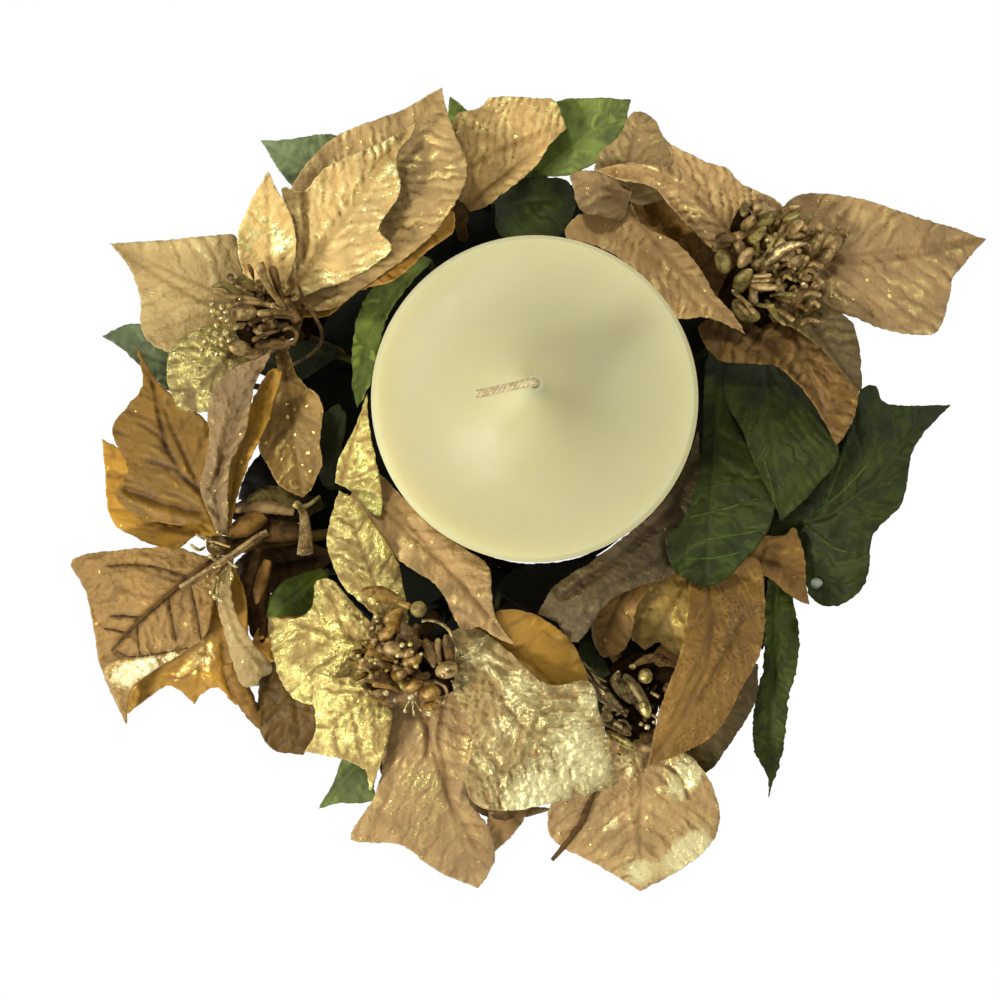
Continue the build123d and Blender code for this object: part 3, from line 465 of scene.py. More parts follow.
def oval_sheet(foot_px, tip_px, half_px, level):
    """Sheet with an oval outline of the given half width."""
    run = (tip_px[0] - foot_px[0], tip_px[1] - foot_px[1])
    length = math.hypot(*run)
    edges = []
    for side in (-1, 1):
        across = (-run[1] / length * half_px * side, run[0] / length * half_px * side)
        edges.append([(foot_px[0] + run[0] * along + across[0] * wide,
                       foot_px[1] + run[1] * along + across[1] * wide) for along, wide in oval_steps])
    return dict(foot_px=foot_px, tip_px=tip_px, level=level, cup=oval_cup,
                left_px=edges[0], right_px=edges[1])


leaf_sheets.update({node: oval_sheet(**values) for node, values in under_sheets.items()})
small_leaves += under_sheets
print("leaves:", len(leaf_sheets), "of which", len(small_leaves), "are small")

# %% [markdown]
# ## How each sheet looks
#
# A finish and its shade, the pressed ribs (gap in pixels, slant, depth in mm), the depth and grain of the
# crumple, and the folds that the picture shows, each a chain of pixels with width, depth and tone. The shade
# is partly the sheet's own tone and partly painted light: a sheet that lies in shadow gets a darker copy of
# its finish, and one in light a lighter one. A fold's tone lays the groove colour on its line, partly as the
# print's dark veins and partly as painted shade in the crease. A gilt spot is a pixel, a radius and how much
# more or less foil took there; where it adds, a pale gold painted highlight goes with it.

# %% How each sheet looks
looks = {
    "bract_a1": dict(finish="pale", shade=0.97, ribs=(22, 0.9, 0.2), crumple=0.12, grain_px=14,
        folds=[([(247, 306), (200, 300), (150, 270), (112, 245)], 3, -0.7, 0.35),
            ([(240, 322), (215, 312), (196, 301)], 2.5, 0.5, 0.2)],
        gilt=[(200, 300, 40, -0.12), (130, 250, 20, -0.1)]),
    "bract_a2": dict(finish="pale", shade=1.2, ribs=(20, 0.8, 0.12), crumple=0.25, grain_px=9,
        gilt=[(278, 240, 14, 0.3)]),
    "bract_a3": dict(finish="foil", shade=0.82, crumple=0.5, grain_px=8, gilt=[(205, 345, 24, 0.12)]),
    "bract_a4": dict(finish="pale", shade=1.12, ribs=(14, 1.0, 0.45), crumple=0.35, grain_px=9,
        folds=[([(302, 191), (306, 226), (304, 262)], 3.5, -1.3, 0.7),
            ([(308, 268), (340, 215), (372, 170), (410, 128)], 3, -0.9, 0.4)],
        gilt=[(345, 225, 40, 0.05), (300, 230, 12, -0.3)]),
    "bract_a5": dict(finish="tan", shade=1.06, ribs=(15, 0.8, 0.4), crumple=0.25, grain_px=12),
    "bract_a6": dict(finish="bronze", shade=1.38, crumple=0.3),
    "bract_a7": dict(finish="ochre", shade=1.08, ribs=(14, 0.8, 0.18), crumple=0.3, grain_px=8,
        gilt=[(288, 425, 22, 0.14), (296, 465, 14, 0.1)]),
    "bract_b1": dict(finish="tan", shade=1.24, ribs=(13, 1.1, 0.5), crumple=0.15, midrib=1.6,
        folds=[([(468, 170), (500, 152), (535, 136), (560, 124)], 3, -1.0, 0.5)]),
    "bract_c1": dict(finish="rose", shade=0.98, ribs=(19, 0.9, 0.35), crumple=0.18, grain_px=13,
        folds=[([(800, 258), (860, 262), (930, 252), (980, 240)], 3, -0.9, 0.5)]),
    "bract_c2": dict(finish="rose", shade=1.08, ribs=(14, 1.3, 0.5), crumple=0.4, grain_px=10,
        folds=[([(600, 172), (640, 178), (668, 196), (690, 222), (706, 246)], 4, -1.2, 0.4),
            ([(664, 152), (670, 166), (675, 178)], 3, -1.6, 0.9),
            ([(676, 160), (700, 186), (724, 216)], 4, -0.9, 0.3),
            ([(604, 166), (650, 166), (690, 186), (730, 214)], 3, 0.9, -0.2)]),
    "bract_c3": dict(finish="bronze", shade=0.95, ribs=(16, 0.8, 0.55), crumple=0.55, grain_px=12,
        folds=[([(730, 322), (770, 344), (812, 392)], 4, -1.2, 0.7),
            ([(760, 316), (800, 350), (830, 400)], 3, 0.9, -0.1),
            ([(712, 330), (740, 346), (768, 360)], 3, -0.8, 0.5)]),
    "bract_c4": dict(finish="olive", shade=0.66, ribs=(15, 0.8, 0.3), crumple=0.3),
    "bract_h1": dict(finish="tan", shade=0.9, ribs=(13, 0.8, 0.3), crumple=0.3),
    "bract_h2": dict(finish="rose", shade=0.95, crumple=0.4, grain_px=7),
    "bract_h3": dict(finish="rose", shade=1.18, ribs=(13, 0.8, 0.4), crumple=0.45, grain_px=9,
        folds=[([(572, 226), (620, 238), (664, 270), (700, 312)], 3.5, -0.8, 0.25)]),
    "bract_d1": dict(finish="amber", shade=0.92, ribs=(30, 0.8, 0.12), crumple=0.25, midrib=1.2,
        folds=[([(157, 405), (167, 449), (180, 470)], 2.2, -0.9, 1.0),
            ([(139, 423), (158, 434), (170, 452)], 2.0, -0.6, 0.8),
            ([(146, 459), (175, 469), (190, 482), (201, 494)], 2.2, -0.9, 1.0),
            ([(150, 366), (157, 405)], 2.0, -0.5, 0.6),
            ([(122, 488), (160, 502), (204, 514)], 3.5, -1.2, 0.7),
            ([(124, 498), (160, 512), (200, 521)], 4, 0.8, -0.4)]),
    "bract_d2": dict(finish="umber", shade=1.1, ribs=(26, 0.8, 0.1), crumple=0.45, grain_px=6, midrib=0.1,
        folds=[([(112, 649), (143, 616), (187, 578), (222, 552)], 3.0, 1.7, 0.95),
            ([(189, 577), (160, 568), (134, 565), (106, 566)], 2.6, -0.9, 0.9),
            ([(143, 619), (124, 616), (110, 616)], 2.2, -0.7, 0.8),
            ([(125, 632), (112, 629), (104, 629)], 2.0, -0.6, 0.7),
            ([(189, 583), (195, 606), (201, 640)], 2.6, -0.8, 0.8),
            ([(168, 600), (172, 620), (176, 642)], 2.4, -0.8, 0.8),
            ([(137, 628), (138, 642), (140, 654)], 2.2, -0.6, 0.7),
            ([(112, 652), (130, 657), (156, 654), (188, 648)], 3.0, -1.2, 0.6),
            ([(82, 590), (92, 620), (104, 668), (120, 706)], 3.0, 0.8, -0.4)],
        gilt=[(124, 676, 17, 0.5), (150, 664, 13, 0.45), (172, 656, 9, 0.4), (96, 600, 16, -0.1)]),
    "bract_d3": dict(finish="pale", shade=0.88, ribs=(30, 0.8, 0.05), crumple=0.45,
        folds=[([(222, 600), (236, 640), (262, 672)], 3, 0.9, -0.2)]),
    "bract_d4": dict(finish="amber", shade=1.16, ribs=(24, 0.8, 0.12), crumple=0.3,
        folds=[([(222, 640), (228, 680), (236, 700)], 4, -1.0, 0.6)],
        gilt=[(204, 656, 18, 0.35), (180, 676, 14, 0.2)]),
    "bract_d5": dict(finish="amber", shade=1.24, ribs=(26, 0.8, 0.12), crumple=0.15,
        folds=[([(140, 526), (160, 522), (184, 527)], 2.0, -0.6, 0.9),
            ([(158, 518), (170, 530)], 2.0, -0.5, 0.8),
            ([(112, 470), (122, 476), (130, 474)], 2.0, -0.4, 0.6)]),
    "bract_d6": dict(finish="rose", shade=0.86, ribs=(16, 1.4, 0.4), crumple=0.4,
        folds=[([(206, 500), (224, 460), (240, 410), (262, 366)], 3, -1.2, 0.7),
            ([(212, 486), (218, 440), (228, 392)], 3, 0.8, -0.1)]),
    "bract_d7": dict(finish="amber", shade=1.22, crumple=0.2),
    "bract_e1": dict(finish="foil", shade=1.04, ribs=(26, 0.8, 0.12), crumple=0.5, grain_px=7,
        folds=[([(378, 648), (340, 645), (300, 628), (272, 618)], 3, 0.9, -0.3)]),
    "bract_e2": dict(finish="foil", shade=1.04, ribs=(26, 0.8, 0.12), crumple=0.5, grain_px=7,
        folds=[([(390, 680), (360, 706), (310, 748)], 3, 0.9, -0.2)]),
    "bract_e3": dict(finish="foil", shade=0.98, ribs=(24, 0.8, 0.12), crumple=0.45, grain_px=9),
    "bract_e4": dict(finish="rose", shade=1.06, ribs=(22, 0.9, 0.15), crumple=0.15, grain_px=10,
        folds=[([(474, 738), (468, 766), (458, 802)], 4, 1.5, -0.3),
            ([(430, 712), (428, 736), (428, 758)], 3, -1.1, 0.6),
            ([(448, 690), (440, 740), (452, 800), (478, 850)], 4, -0.9, 0.35)],
        gilt=[(415, 745, 24, 0.16), (425, 790, 24, 0.16), (440, 830, 22, 0.14)]),
    "bract_e5": dict(finish="pale", streak=1.3, shade=0.89, ribs=(20, 0.9, 0.15), crumple=0.7, grain_px=6,
        folds=[([(470, 640), (504, 684), (536, 712), (612, 780)], 3, 0.9, -0.3),
            ([(536, 712), (520, 750), (500, 790)], 3, 0.7, -0.2),
            ([(536, 712), (560, 700), (586, 690)], 3, 0.7, -0.2),
            ([(552, 690), (576, 700), (600, 730)], 4, -0.6, 0.2)],
        gilt=[(482, 660, 22, 0.3), (520, 690, 24, 0.25), (540, 790, 26, 0.5), (520, 802, 16, 0.5),
            (572, 742, 30, 0.35), (590, 770, 24, 0.35), (588, 700, 18, 0.3), (500, 730, 20, 0.2)]),
    "bract_e6": dict(finish="amber", shade=1.0, ribs=(30, 0.8, 0.06), crumple=0.1),
    "bract_k1": dict(finish="foil", shade=1.1, crumple=0.6, grain_px=8),
    "bract_k2": dict(finish="rose", shade=1.1, ribs=(22, 0.8, 0.12), crumple=0.35, grain_px=9,
        folds=[([(384, 498), (430, 546), (470, 592), (500, 632)], 3, -0.8, 0.25)], gilt=[(390, 530, 30,
            0.08)]),
    "bract_f1": dict(finish="rose", streak=1.5, shade=1.04, ribs=(20, 0.8, 0.25), crumple=0.4, grain_px=9,
        folds=[([(671, 768), (682, 782), (690, 801)], 3, -1.6, 0.9),
            ([(632, 760), (628, 800), (636, 850)], 3, 0.8, -0.2),
            ([(594, 790), (584, 812), (568, 836), (556, 856)], 4, 1.6, 0.8)],
        gilt=[(688, 772, 17, 0.5), (680, 790, 14, 0.4), (696, 846, 20, 0.5), (676, 860, 14, 0.45),
            (640, 872, 18, 0.4), (628, 766, 16, 0.3), (612, 824, 9, 0.35)]),
    "bract_f2": dict(finish="olive", shade=0.64, crumple=0.2),
    "bract_j1": dict(finish="bronze", shade=1.04, ribs=(8, 2.2, 0.22), crumple=0.12,
        folds=[([(744, 615), (726, 655), (698, 703)], 3, -1.1, 0.5),
            ([(716, 590), (700, 650), (668, 720)], 2.5, 0.7, -0.1),
            ([(736, 590), (722, 640), (690, 690)], 2.5, 0.5, -0.1)]),
    "bract_j2": dict(finish="tan", shade=0.6, ribs=(18, 0.8, 0.15), crumple=0.45,
        folds=[([(676, 508), (640, 540), (600, 572), (560, 600)], 4, -1.4, 0.8),
            ([(690, 470), (660, 515), (616, 556), (566, 586)], 3, 0.8, -0.5)]),
    "bract_j3": dict(finish="bronze", shade=1.0, crumple=0.15,
        folds=[([(640, 572), (622, 600), (606, 640)], 2, 0.7, 0.4)]),
    "bract_j4": dict(finish="olive", shade=1.16, crumple=0.3),
    "bract_j5": dict(finish="bronze", shade=1.1, crumple=0.4,
        folds=[([(742, 556), (775, 564), (796, 590)], 3, -1.0, 0.5)]),
    "leaf_1": dict(finish="dark leaf", grain_px=12, veins=0.9, ribs=(24, 0.35, 0.3), crumple=0.08),
    "leaf_2": dict(finish="dark leaf", grain_px=12, veins=0.8, ribs=(17, 1.5, 0.3), crumple=0.08),
    "leaf_3": dict(finish="dark leaf", grain_px=12, veins=0.8, shade=0.9, ribs=(26, 0.9, 0.35),
        crumple=0.08),
    "leaf_4": dict(finish="mid leaf", veins=0.8, shade=0.82, ribs=(14, 0.7, 0.5), crumple=0.06, midrib=1.4,
        fray=1.6),
    "leaf_5": dict(finish="leaf", veins=0.7, shade=1.12, ribs=(20, 0.8, 0.15), crumple=0.06),
    "leaf_6": dict(finish="leaf", veins=0.8, shade=1.25, ribs=(15, 0.8, 0.45), crumple=0.06),
    "leaf_7": dict(finish="grey leaf", veins=0.7, shade=1.17, ribs=(18, 0.8, 0.2), crumple=0.06),
    "leaf_8": dict(finish="grey leaf", shade=0.92, crumple=0.06),
    "leaf_9": dict(finish="leaf", shade=0.92, crumple=0.06),
    "leaf_10": dict(finish="mid leaf", shade=1.1, crumple=0.15),
    "leaf_11": dict(finish="dark leaf", crumple=0.15),
    "leaf_12": dict(finish="dark leaf", shade=0.8, crumple=0.15),
    # Nearly black: painted shade in the gap at the candle's foot
    "leaf_13": dict(finish="dark leaf", shade=0.25, crumple=0.15),
    "leaf_14": dict(finish="amber", shade=0.7, crumple=0.4),
    # Nearly black: painted shade in the hollow between the flowers
    "leaf_15": dict(finish="dark leaf", shade=0.2, crumple=0.15),
    "leaf_16": dict(finish="olive", shade=0.53, crumple=0.4, grain_px=7,
        folds=[([(312, 500), (270, 512), (232, 514)], 3, -1.2, 0.6),
            ([(300, 492), (262, 498), (236, 508)], 3, 1.2, -0.3)]),
    "leaf_17": dict(finish="brown", crumple=0.5, grain_px=7,
        folds=[([(320, 560), (280, 566), (240, 584)], 3, -1.2, 0.6),
            ([(300, 548), (268, 556), (244, 572)], 3, 1.2, -0.3)]),
    "leaf_18": dict(finish="bronze", shade=1.6, crumple=0.4),
    "leaf_19": dict(finish="brown", shade=1.45, crumple=0.4),
    "leaf_20": dict(finish="dark leaf", shade=0.9, crumple=0.15),
    "leaf_21": dict(finish="rose", shade=1.34, crumple=0.4),
    "leaf_22": dict(finish="brown", shade=1.85, crumple=0.4),
    "leaf_23": dict(finish="dark leaf", shade=0.6, crumple=0.15),
    "leaf_24": dict(finish="bronze", shade=1.25, crumple=0.4),
    "leaf_25": dict(finish="leaf", shade=1.3, crumple=0.15),
}
print("sheets with folds of their own:", sum("folds" in look for look in looks.values()))

# %% [markdown]
# ## Chains of points
#
# An outline is a chain of a few pixels. A smooth curve through them is cut into even steps,
# because a thin sheet crumples well only when its triangles have about the same size.
# `measure` tells how far each point lies along a line and across it, for ribs, folds and edges.

# %% Chains of points
def smooth_chain(points, steps=4):
    """Catmull-Rom curve through the points, which stay where they are."""
    ends = [points[0]] + list(points) + [points[-1]]
    curve = []
    for a, b, c, d in zip(ends, ends[1:], ends[2:], ends[3:]):
        for n in range(steps):
            t = n / steps
            curve.append(tuple(0.5 * (2 * q + (r - p) * t + (2 * p - 5 * q + 4 * r - s) * t * t
                + (3 * q - p - 3 * r + s) * t ** 3) for p, q, r, s in zip(a, b, c, d)))
    return curve + [points[-1]]


def resample(points, gap):
    """Points about gap apart along a polyline, ends kept."""
    points = np.array(points, float)
    steps = np.hypot(*np.diff(points, axis=0).T)
    total = np.concatenate([[0], np.cumsum(steps)])
    count = max(2, int(total[-1] / gap) + 1)
    at = np.linspace(0, total[-1], count)
    return np.stack([np.interp(at, total, points[:, k]) for k in range(2)], axis=1)


def length_of(line):
    return sum(np.hypot(*np.subtract(b, a)) for a, b in zip(line, line[1:]))


def inside(points, ring):
    """Which points lie inside the closed ring."""
    x, y = points[:, 0:1], points[:, 1:2]
    a, b = ring, np.roll(ring, -1, axis=0)
    spans = (a[:, 1] > y) != (b[:, 1] > y)
    rise = np.where(b[:, 1] == a[:, 1], 1e-9, b[:, 1] - a[:, 1])
    crossing = a[:, 0] + (y - a[:, 1]) * (b[:, 0] - a[:, 0]) / rise
    return (spans & (x < crossing)).sum(axis=1) % 2 == 1


def measure(points, line):
    """For each point: distance along the polyline, signed distance across it, both in pixels."""
    best = np.full(len(points), np.inf)
    along = np.zeros(len(points))
    across = np.zeros(len(points))
    run = 0.0
    for a, b in zip(line, line[1:]):
        step = np.subtract(b, a)
        length = np.hypot(*step)
        way = step / length
        rel = points - a
        t = np.clip(rel @ way, 0, length)
        off = rel - np.outer(t, way)
        far = np.hypot(off[:, 0], off[:, 1])
        side = np.where(rel[:, 1] * way[0] - rel[:, 0] * way[1] < 0, -1.0, 1.0)
        near = far < best
        best[near] = far[near]
        along[near] = (run + t)[near]
        across[near] = (side * far)[near]
        run += length
    return along, across


print("a chain of 2 pixels becomes", len(smooth_chain([(0, 0), (9, 0)])), "points")

# %% [markdown]
# ## Where each sheet lies
#
# A bract's foot sits on its calyx and a leaf's on its wire, and the height rule lifts every pixel
# of the sheet to its place in the air: a curve from foot over belly to tip, with the edges a
# little higher or lower than the midrib.

# %% Where each sheet lies
calyx_radius = 4.5
small_calyx_radius = 2.6
sheet_seat = 0.3


def foot_of(sheet):
    """Middle of the foot and the level direction in which the sheet leaves it."""
    z = sheet["level"][0] * crown_height
    start = place(*sheet["foot_px"], z) if "foot_px" in sheet else hub_centre(sheet["hub"])
    aim = place(*sheet.get("toward_px", sheet["tip_px"]), z)
    length = math.hypot(aim[0] - start[0], aim[1] - start[1])
    way = ((aim[0] - start[0]) / length, (aim[1] - start[1]) / length)
    out = 0.0
    if "hub" in sheet:
        calyx = small_calyx_radius if hubs[sheet["hub"]].get("small") else calyx_radius
        out = -calyx if sheet.get("cap") else calyx + sheet_seat
    return (start[0] + way[0] * out, start[1] + way[1] * out, z), way


def hub_centre(key):
    hub = hubs[key]
    return place(*hub["at_px"], hub["low"] * crown_height)


def lift(sheet, foot_px, points):
    """Height of the smooth sheet over each point, by the same rule as its plain solid."""
    run = np.subtract(sheet["tip_px"], foot_px)
    length = np.hypot(*run)

    def along_across(p):
        rel = np.asarray(p, float) - foot_px
        return np.clip(rel @ run / length ** 2, 0, 1), (rel[:, 1] * run[0] - rel[:, 0] * run[1]) / length

    widest = np.abs(along_across(sheet["left_px"] + sheet["right_px"])[1]).max()
    low, belly, tip = (share * crown_height for share in sheet["level"])
    pull = 2 * belly - (low + tip) / 2
    u, w = along_across(points)
    arch = (1 - u) ** 2 * low + 2 * u * (1 - u) * pull + u * u * tip
    return arch + sheet["cup"] * (w / widest) ** 2 * crown_height * np.minimum(1.0, 4 * u)


print("foot of bract_c1, mm:", [round(float(v), 1) for v in foot_of(bract_sheets["bract_c1"])[0]])

# %% [markdown]
# ## Relief
#
# The cloth was pressed between hot moulds and printed with foil, so each sheet has a midrib, side
# ribs that slant to the tip, a crumple over everything, and edges that curl. Real relief catches
# the light at every angle, which a bump in the material would not do at the sheet's outline.
# Besides the heights, the function gives the masks that the materials read.

# %% Noise for the relief
def fractal(points, size, seed, rough=0.5):
    """Soft noise between about -1 and 1 over pixels, with features about size pixels wide."""
    return np.array([noise.fractal((x / size, y / size, seed), rough, 2.0, 3) for x, y in points])


def ridged(points, size, seed):
    """Sharp creases, 1 on a crease and 0 away from it, about size pixels apart."""
    return 1 - np.abs(fractal(points, size, seed, 0.8)).clip(0, 1)


print("noise in one row:", fractal([(x, 0) for x in range(0, 40, 8)], 9, 0).round(2))

# %% Relief
# Pixels: slow waves that bend the ribs and how far, the midrib's width, and how far the curl
# reaches in from the edge
wave_px, wave_shift_px = 34, 8
midrib_px = 2.2
curl_px, curl_wave_px = 8, 30
# Ribs bow to the tip, start beside the midrib and past the foot, and the foot itself is plain
rib_bow = 0.0016
rib_start_px, rib_foot_px, plain_foot_px = 6, 12, 14
fold_end_px = 8
# Millimetres: depth of the midrib, of the curl, and what a pixel is worth in the edge mask
midrib_depth, curl_depth, curl_rise = 0.7, 1.3, 0.1
edge_scale = 0.26
# Past this share of the gap between two ribs lies the line of the rib, and past this crease
# value the sheet is pushed in
line_from, crease_from = 0.7, 0.6


def fold_mark(points, path, wide):
    """How strongly a fold marks each point: 1 on its line, less to the sides and the ends."""
    t, d = measure(points, [np.array(p, float) for p in path])
    ends = np.clip(np.minimum(t, length_of(path) - t) / fold_end_px + 0.35, 0, 1)
    return np.exp(-(d / wide) ** 2) * ends


def relief(look, points, rib, ring, seed):
    """Height added to the smooth sheet, in millimetres, and the masks that its material reads."""
    along, across = measure(points, rib)
    total = length_of(rib)
    gap, slant, depth = look.get("ribs", (16, 0.7, 0.15))
    wobble = wave_shift_px * fractal(points, wave_px, seed + 9)
    lean = along - slant * np.abs(across) - rib_bow * across ** 2 + wobble
    phase = lean / gap + np.where(across > 0, 0.5, 0.0)
    groove = np.abs(2 * (phase % 1.0) - 1)
    patchy = np.clip(0.8 + fractal(points, 22, seed + 7), 0.2, 1.2)
    grown = np.clip(np.abs(across) / rib_start_px, 0, 1) * np.clip(along / rib_foot_px, 0, 1) * patchy
    line = np.clip((groove - line_from) / 0.3, 0, 1) ** 1.3 * grown
    swell = (1 - groove ** 4) * grown
    midrib = np.exp(-(across / midrib_px) ** 2) * np.clip(1.25 - along / total, 0, 1)
    height = depth * (1.3 * swell - 0.7 * line - 0.5) - midrib_depth * midrib * look.get("midrib", 0.8)
    fine = look.get("grain_px", 9)
    drift = np.stack([lean, across / look.get("streak", 2.4)], axis=1)
    lumps = 0.4 * fractal(points, fine * 1.6, seed) + 0.7 * fractal(drift, fine, seed + 11)
    creases = ridged(drift, fine, seed + 4)
    pushed = 2.4 * (creases - crease_from) ** 2 * np.sign(creases - crease_from)
    height = height + look.get("crumple", 0.25) * (1.7 * lumps - pushed)
    _, edge = measure(points, np.vstack([ring, ring[:1]]))
    edge = np.abs(edge)
    curl = curl_depth * fractal(points, curl_wave_px, seed + 2) + curl_rise
    height = height + np.exp(-edge / curl_px) * curl
    vein = np.maximum(0.55 * midrib, look.get("veins", 0.35) * line)
    for path, wide, deep, tone in look.get("folds", ()):
        mark = fold_mark(points, path, wide)
        height = height + deep * mark
        vein = np.clip(vein + tone * mark, -0.6, 1.2)
    height = height * np.clip(along / plain_foot_px, 0, 1)
    raised = np.clip(0.5 + 0.5 * lumps + 0.4 * (swell - 0.5) * depth / 0.3 - 0.4 * line, 0, 1)
    # Gilt spots: more foil, and a pale gold painted highlight where they add
    gilt = np.zeros(len(points))
    for x, y, size, amount in look.get("gilt", ()):
        gilt += amount * np.exp(-((points[:, 0] - x) ** 2 + (points[:, 1] - y) ** 2) / size ** 2)
    masks = {"vein": vein, "edge": edge * edge_scale, "along": along / total, "raised": raised, "gilt": gilt}
    return height, masks


beside = np.array([(20.0, y) for y in range(6)])
print("a fold fades to its side:", fold_mark(beside, [(0, 0), (40, 0)], 3).round(2))

# %% [markdown]
# ## From an outline to a thin sheet
#
# The ring of edge points is filled with a slightly uneven grid and a constrained triangulation,
# so that the edge stays exactly as drawn. The same points a little lower make the back, and a
# band of faces closes the rim: a sheet without thickness would show its rim as a knife edge.

# %% Triangles that fill an outline
# Shares of the grid's gap: the rows' distance, the shake of the points, and their clearance from
# the edge
row_share, shake_share, clear_share = 0.87, 0.18, 0.55


def fill(ring, gap, seed):
    """Points and upward triangles that fill the ring of pixels."""
    low, high = ring.min(axis=0), ring.max(axis=0)
    rows = np.arange(low[1], high[1], gap * row_share)
    grid = np.array([(x + (gap / 2 if k % 2 else 0), y)
                     for k, y in enumerate(rows) for x in np.arange(low[0], high[0], gap)])
    grid = grid + np.random.default_rng(seed).uniform(-shake_share, shake_share, grid.shape) * gap
    grid = grid[inside(grid, ring)]
    _, far = measure(grid, np.vstack([ring, ring[:1]]))
    points = np.vstack([ring, grid[np.abs(far) > clear_share * gap]])
    flat = [Vector((x, -y)) for x, y in points]
    found = delaunay_2d_cdt(flat, [], [list(range(len(ring)))[::-1]], 1, 1e-5)
    spots = np.array([(v.x, -v.y) for v in found[0]])
    triangles = []
    for a, b, c in found[2]:
        u, v = spots[b] - spots[a], spots[c] - spots[a]
        triangles.append((a, b, c) if u[0] * v[1] - u[1] * v[0] < 0 else (a, c, b))
    return spots, triangles


def border(triangles):
    """Directed edges that belong to one triangle only."""
    seen = {(a, b) for t in triangles for a, b in zip(t, t[1:] + t[:1])}
    return [(a, b) for a, b in seen if (b, a) not in seen]


square = np.array([(0.0, 0.0), (20.0, 0.0), (20.0, 20.0), (0.0, 20.0)])
print("a square of 20 pixels takes", len(fill(square, 2.2, 1)[1]), "triangles")

# %% One sheet
sheet_gap_px = 2.2
stalk_half_width = 1.5
sheet_thickness = 0.4
fray_px = 7
# A name gives its sheet a seed of its own, the same on each run
seed_span, seed_step = 977, 0.731


def thin_mesh(name, top, bottom, triangles, loop):
    """Closed sheet from its top and bottom points."""
    n = len(top)
    faces = [tuple(t) for t in triangles]
    faces += [(a + n, c + n, b + n) for a, b, c in triangles]
    sides = [(b, a, a + n, b + n) for a, b in loop]
    mesh = bpy.data.meshes.new(name)
    mesh.from_pydata([tuple(v) for v in np.vstack([top, bottom]) * MM], [], faces + sides)
    mesh.update()
    mesh.polygons.foreach_set("use_smooth", [True] * len(mesh.polygons))
    backs = [0] * len(triangles) + [1] * (len(triangles) + len(sides))
    mesh.polygons.foreach_set("material_index", backs)
    return mesh


def frayed(ring, amount, seed):
    """The ring with its points moved in or out a little, but for the six beside the stalk."""
    fray = fractal(ring, fray_px, seed + 5) * amount
    turn = np.roll(ring, -1, axis=0) - np.roll(ring, 1, axis=0)
    size = np.hypot(*turn.T).clip(1e-6)
    out = np.stack([turn[:, 1], -turn[:, 0]], axis=1) / size[:, None]
    keep = np.ones(len(ring))
    keep[:3] = keep[-3:] = 0
    return ring + out * (fray * keep)[:, None]


def sheet_piece(name, sheet, look):
    """One crumpled sheet as an object, with its masks as attributes of its points."""
    foot, way = foot_of(sheet)
    foot_px = np.array(to_px(foot))
    half = stalk_half_width
    seed = sum(ord(c) * (k + 1) for k, c in enumerate(name)) % seed_span * seed_step
    corners = [to_px((foot[0] - s * way[1] * half, foot[1] + s * way[0] * half, foot[2])) for s in (1, -1)]
    left, right = (resample(smooth_chain([corner] + list(edge) + [sheet["tip_px"]]), sheet_gap_px)
                   for corner, edge in zip(corners, (sheet["left_px"], sheet["right_px"])))
    ring = frayed(np.vstack([left, right[-2::-1]]), look.get("fray", 1.0), seed)
    run = np.array(sheet["tip_px"]) - foot_px
    middle = sheet.get("rib_px") or [foot_px + run * t for t in (0.25, 0.5, 0.75)]
    rib = [np.array(p, float) for p in [foot_px, *middle, sheet["tip_px"]]]
    points, triangles = fill(ring, sheet_gap_px, int(seed))
    height, masks = relief(look, points, rib, ring, seed)
    level = lift(sheet, foot_px, points) + height
    top = np.array([place(x, y, z) for (x, y), z in zip(points, level)])
    bottom = top - np.array([0, 0, sheet_thickness])
    mesh = thin_mesh(name, top, bottom, triangles, border(triangles))
    for title, values in masks.items():
        layer = mesh.attributes.new(title, "FLOAT", "POINT")
        layer.data.foreach_set("value", np.concatenate([values, values]).astype(np.float32))
    return add_object(name, mesh)


print("grid", sheet_gap_px, "px, sheets", sheet_thickness, "mm thick")

# %% [markdown]
# ## Node helpers
#
# A material is a graph of nodes, which takes many lines to write out. `Tree` adds a node, sets or
# wires its inputs and hands back its output, so a material below reads like a calculation.
# Sizes of noise are in millimetres.

# %% Node helpers
def linear(*picture_values):
    """Scene colour from the 0 to 255 values of a picture."""
    scene = [c / 255 / 12.92 if c < 10.3 else ((c / 255 + 0.055) / 1.055) ** 2.4 for c in picture_values]
    return (*scene, 1.0)


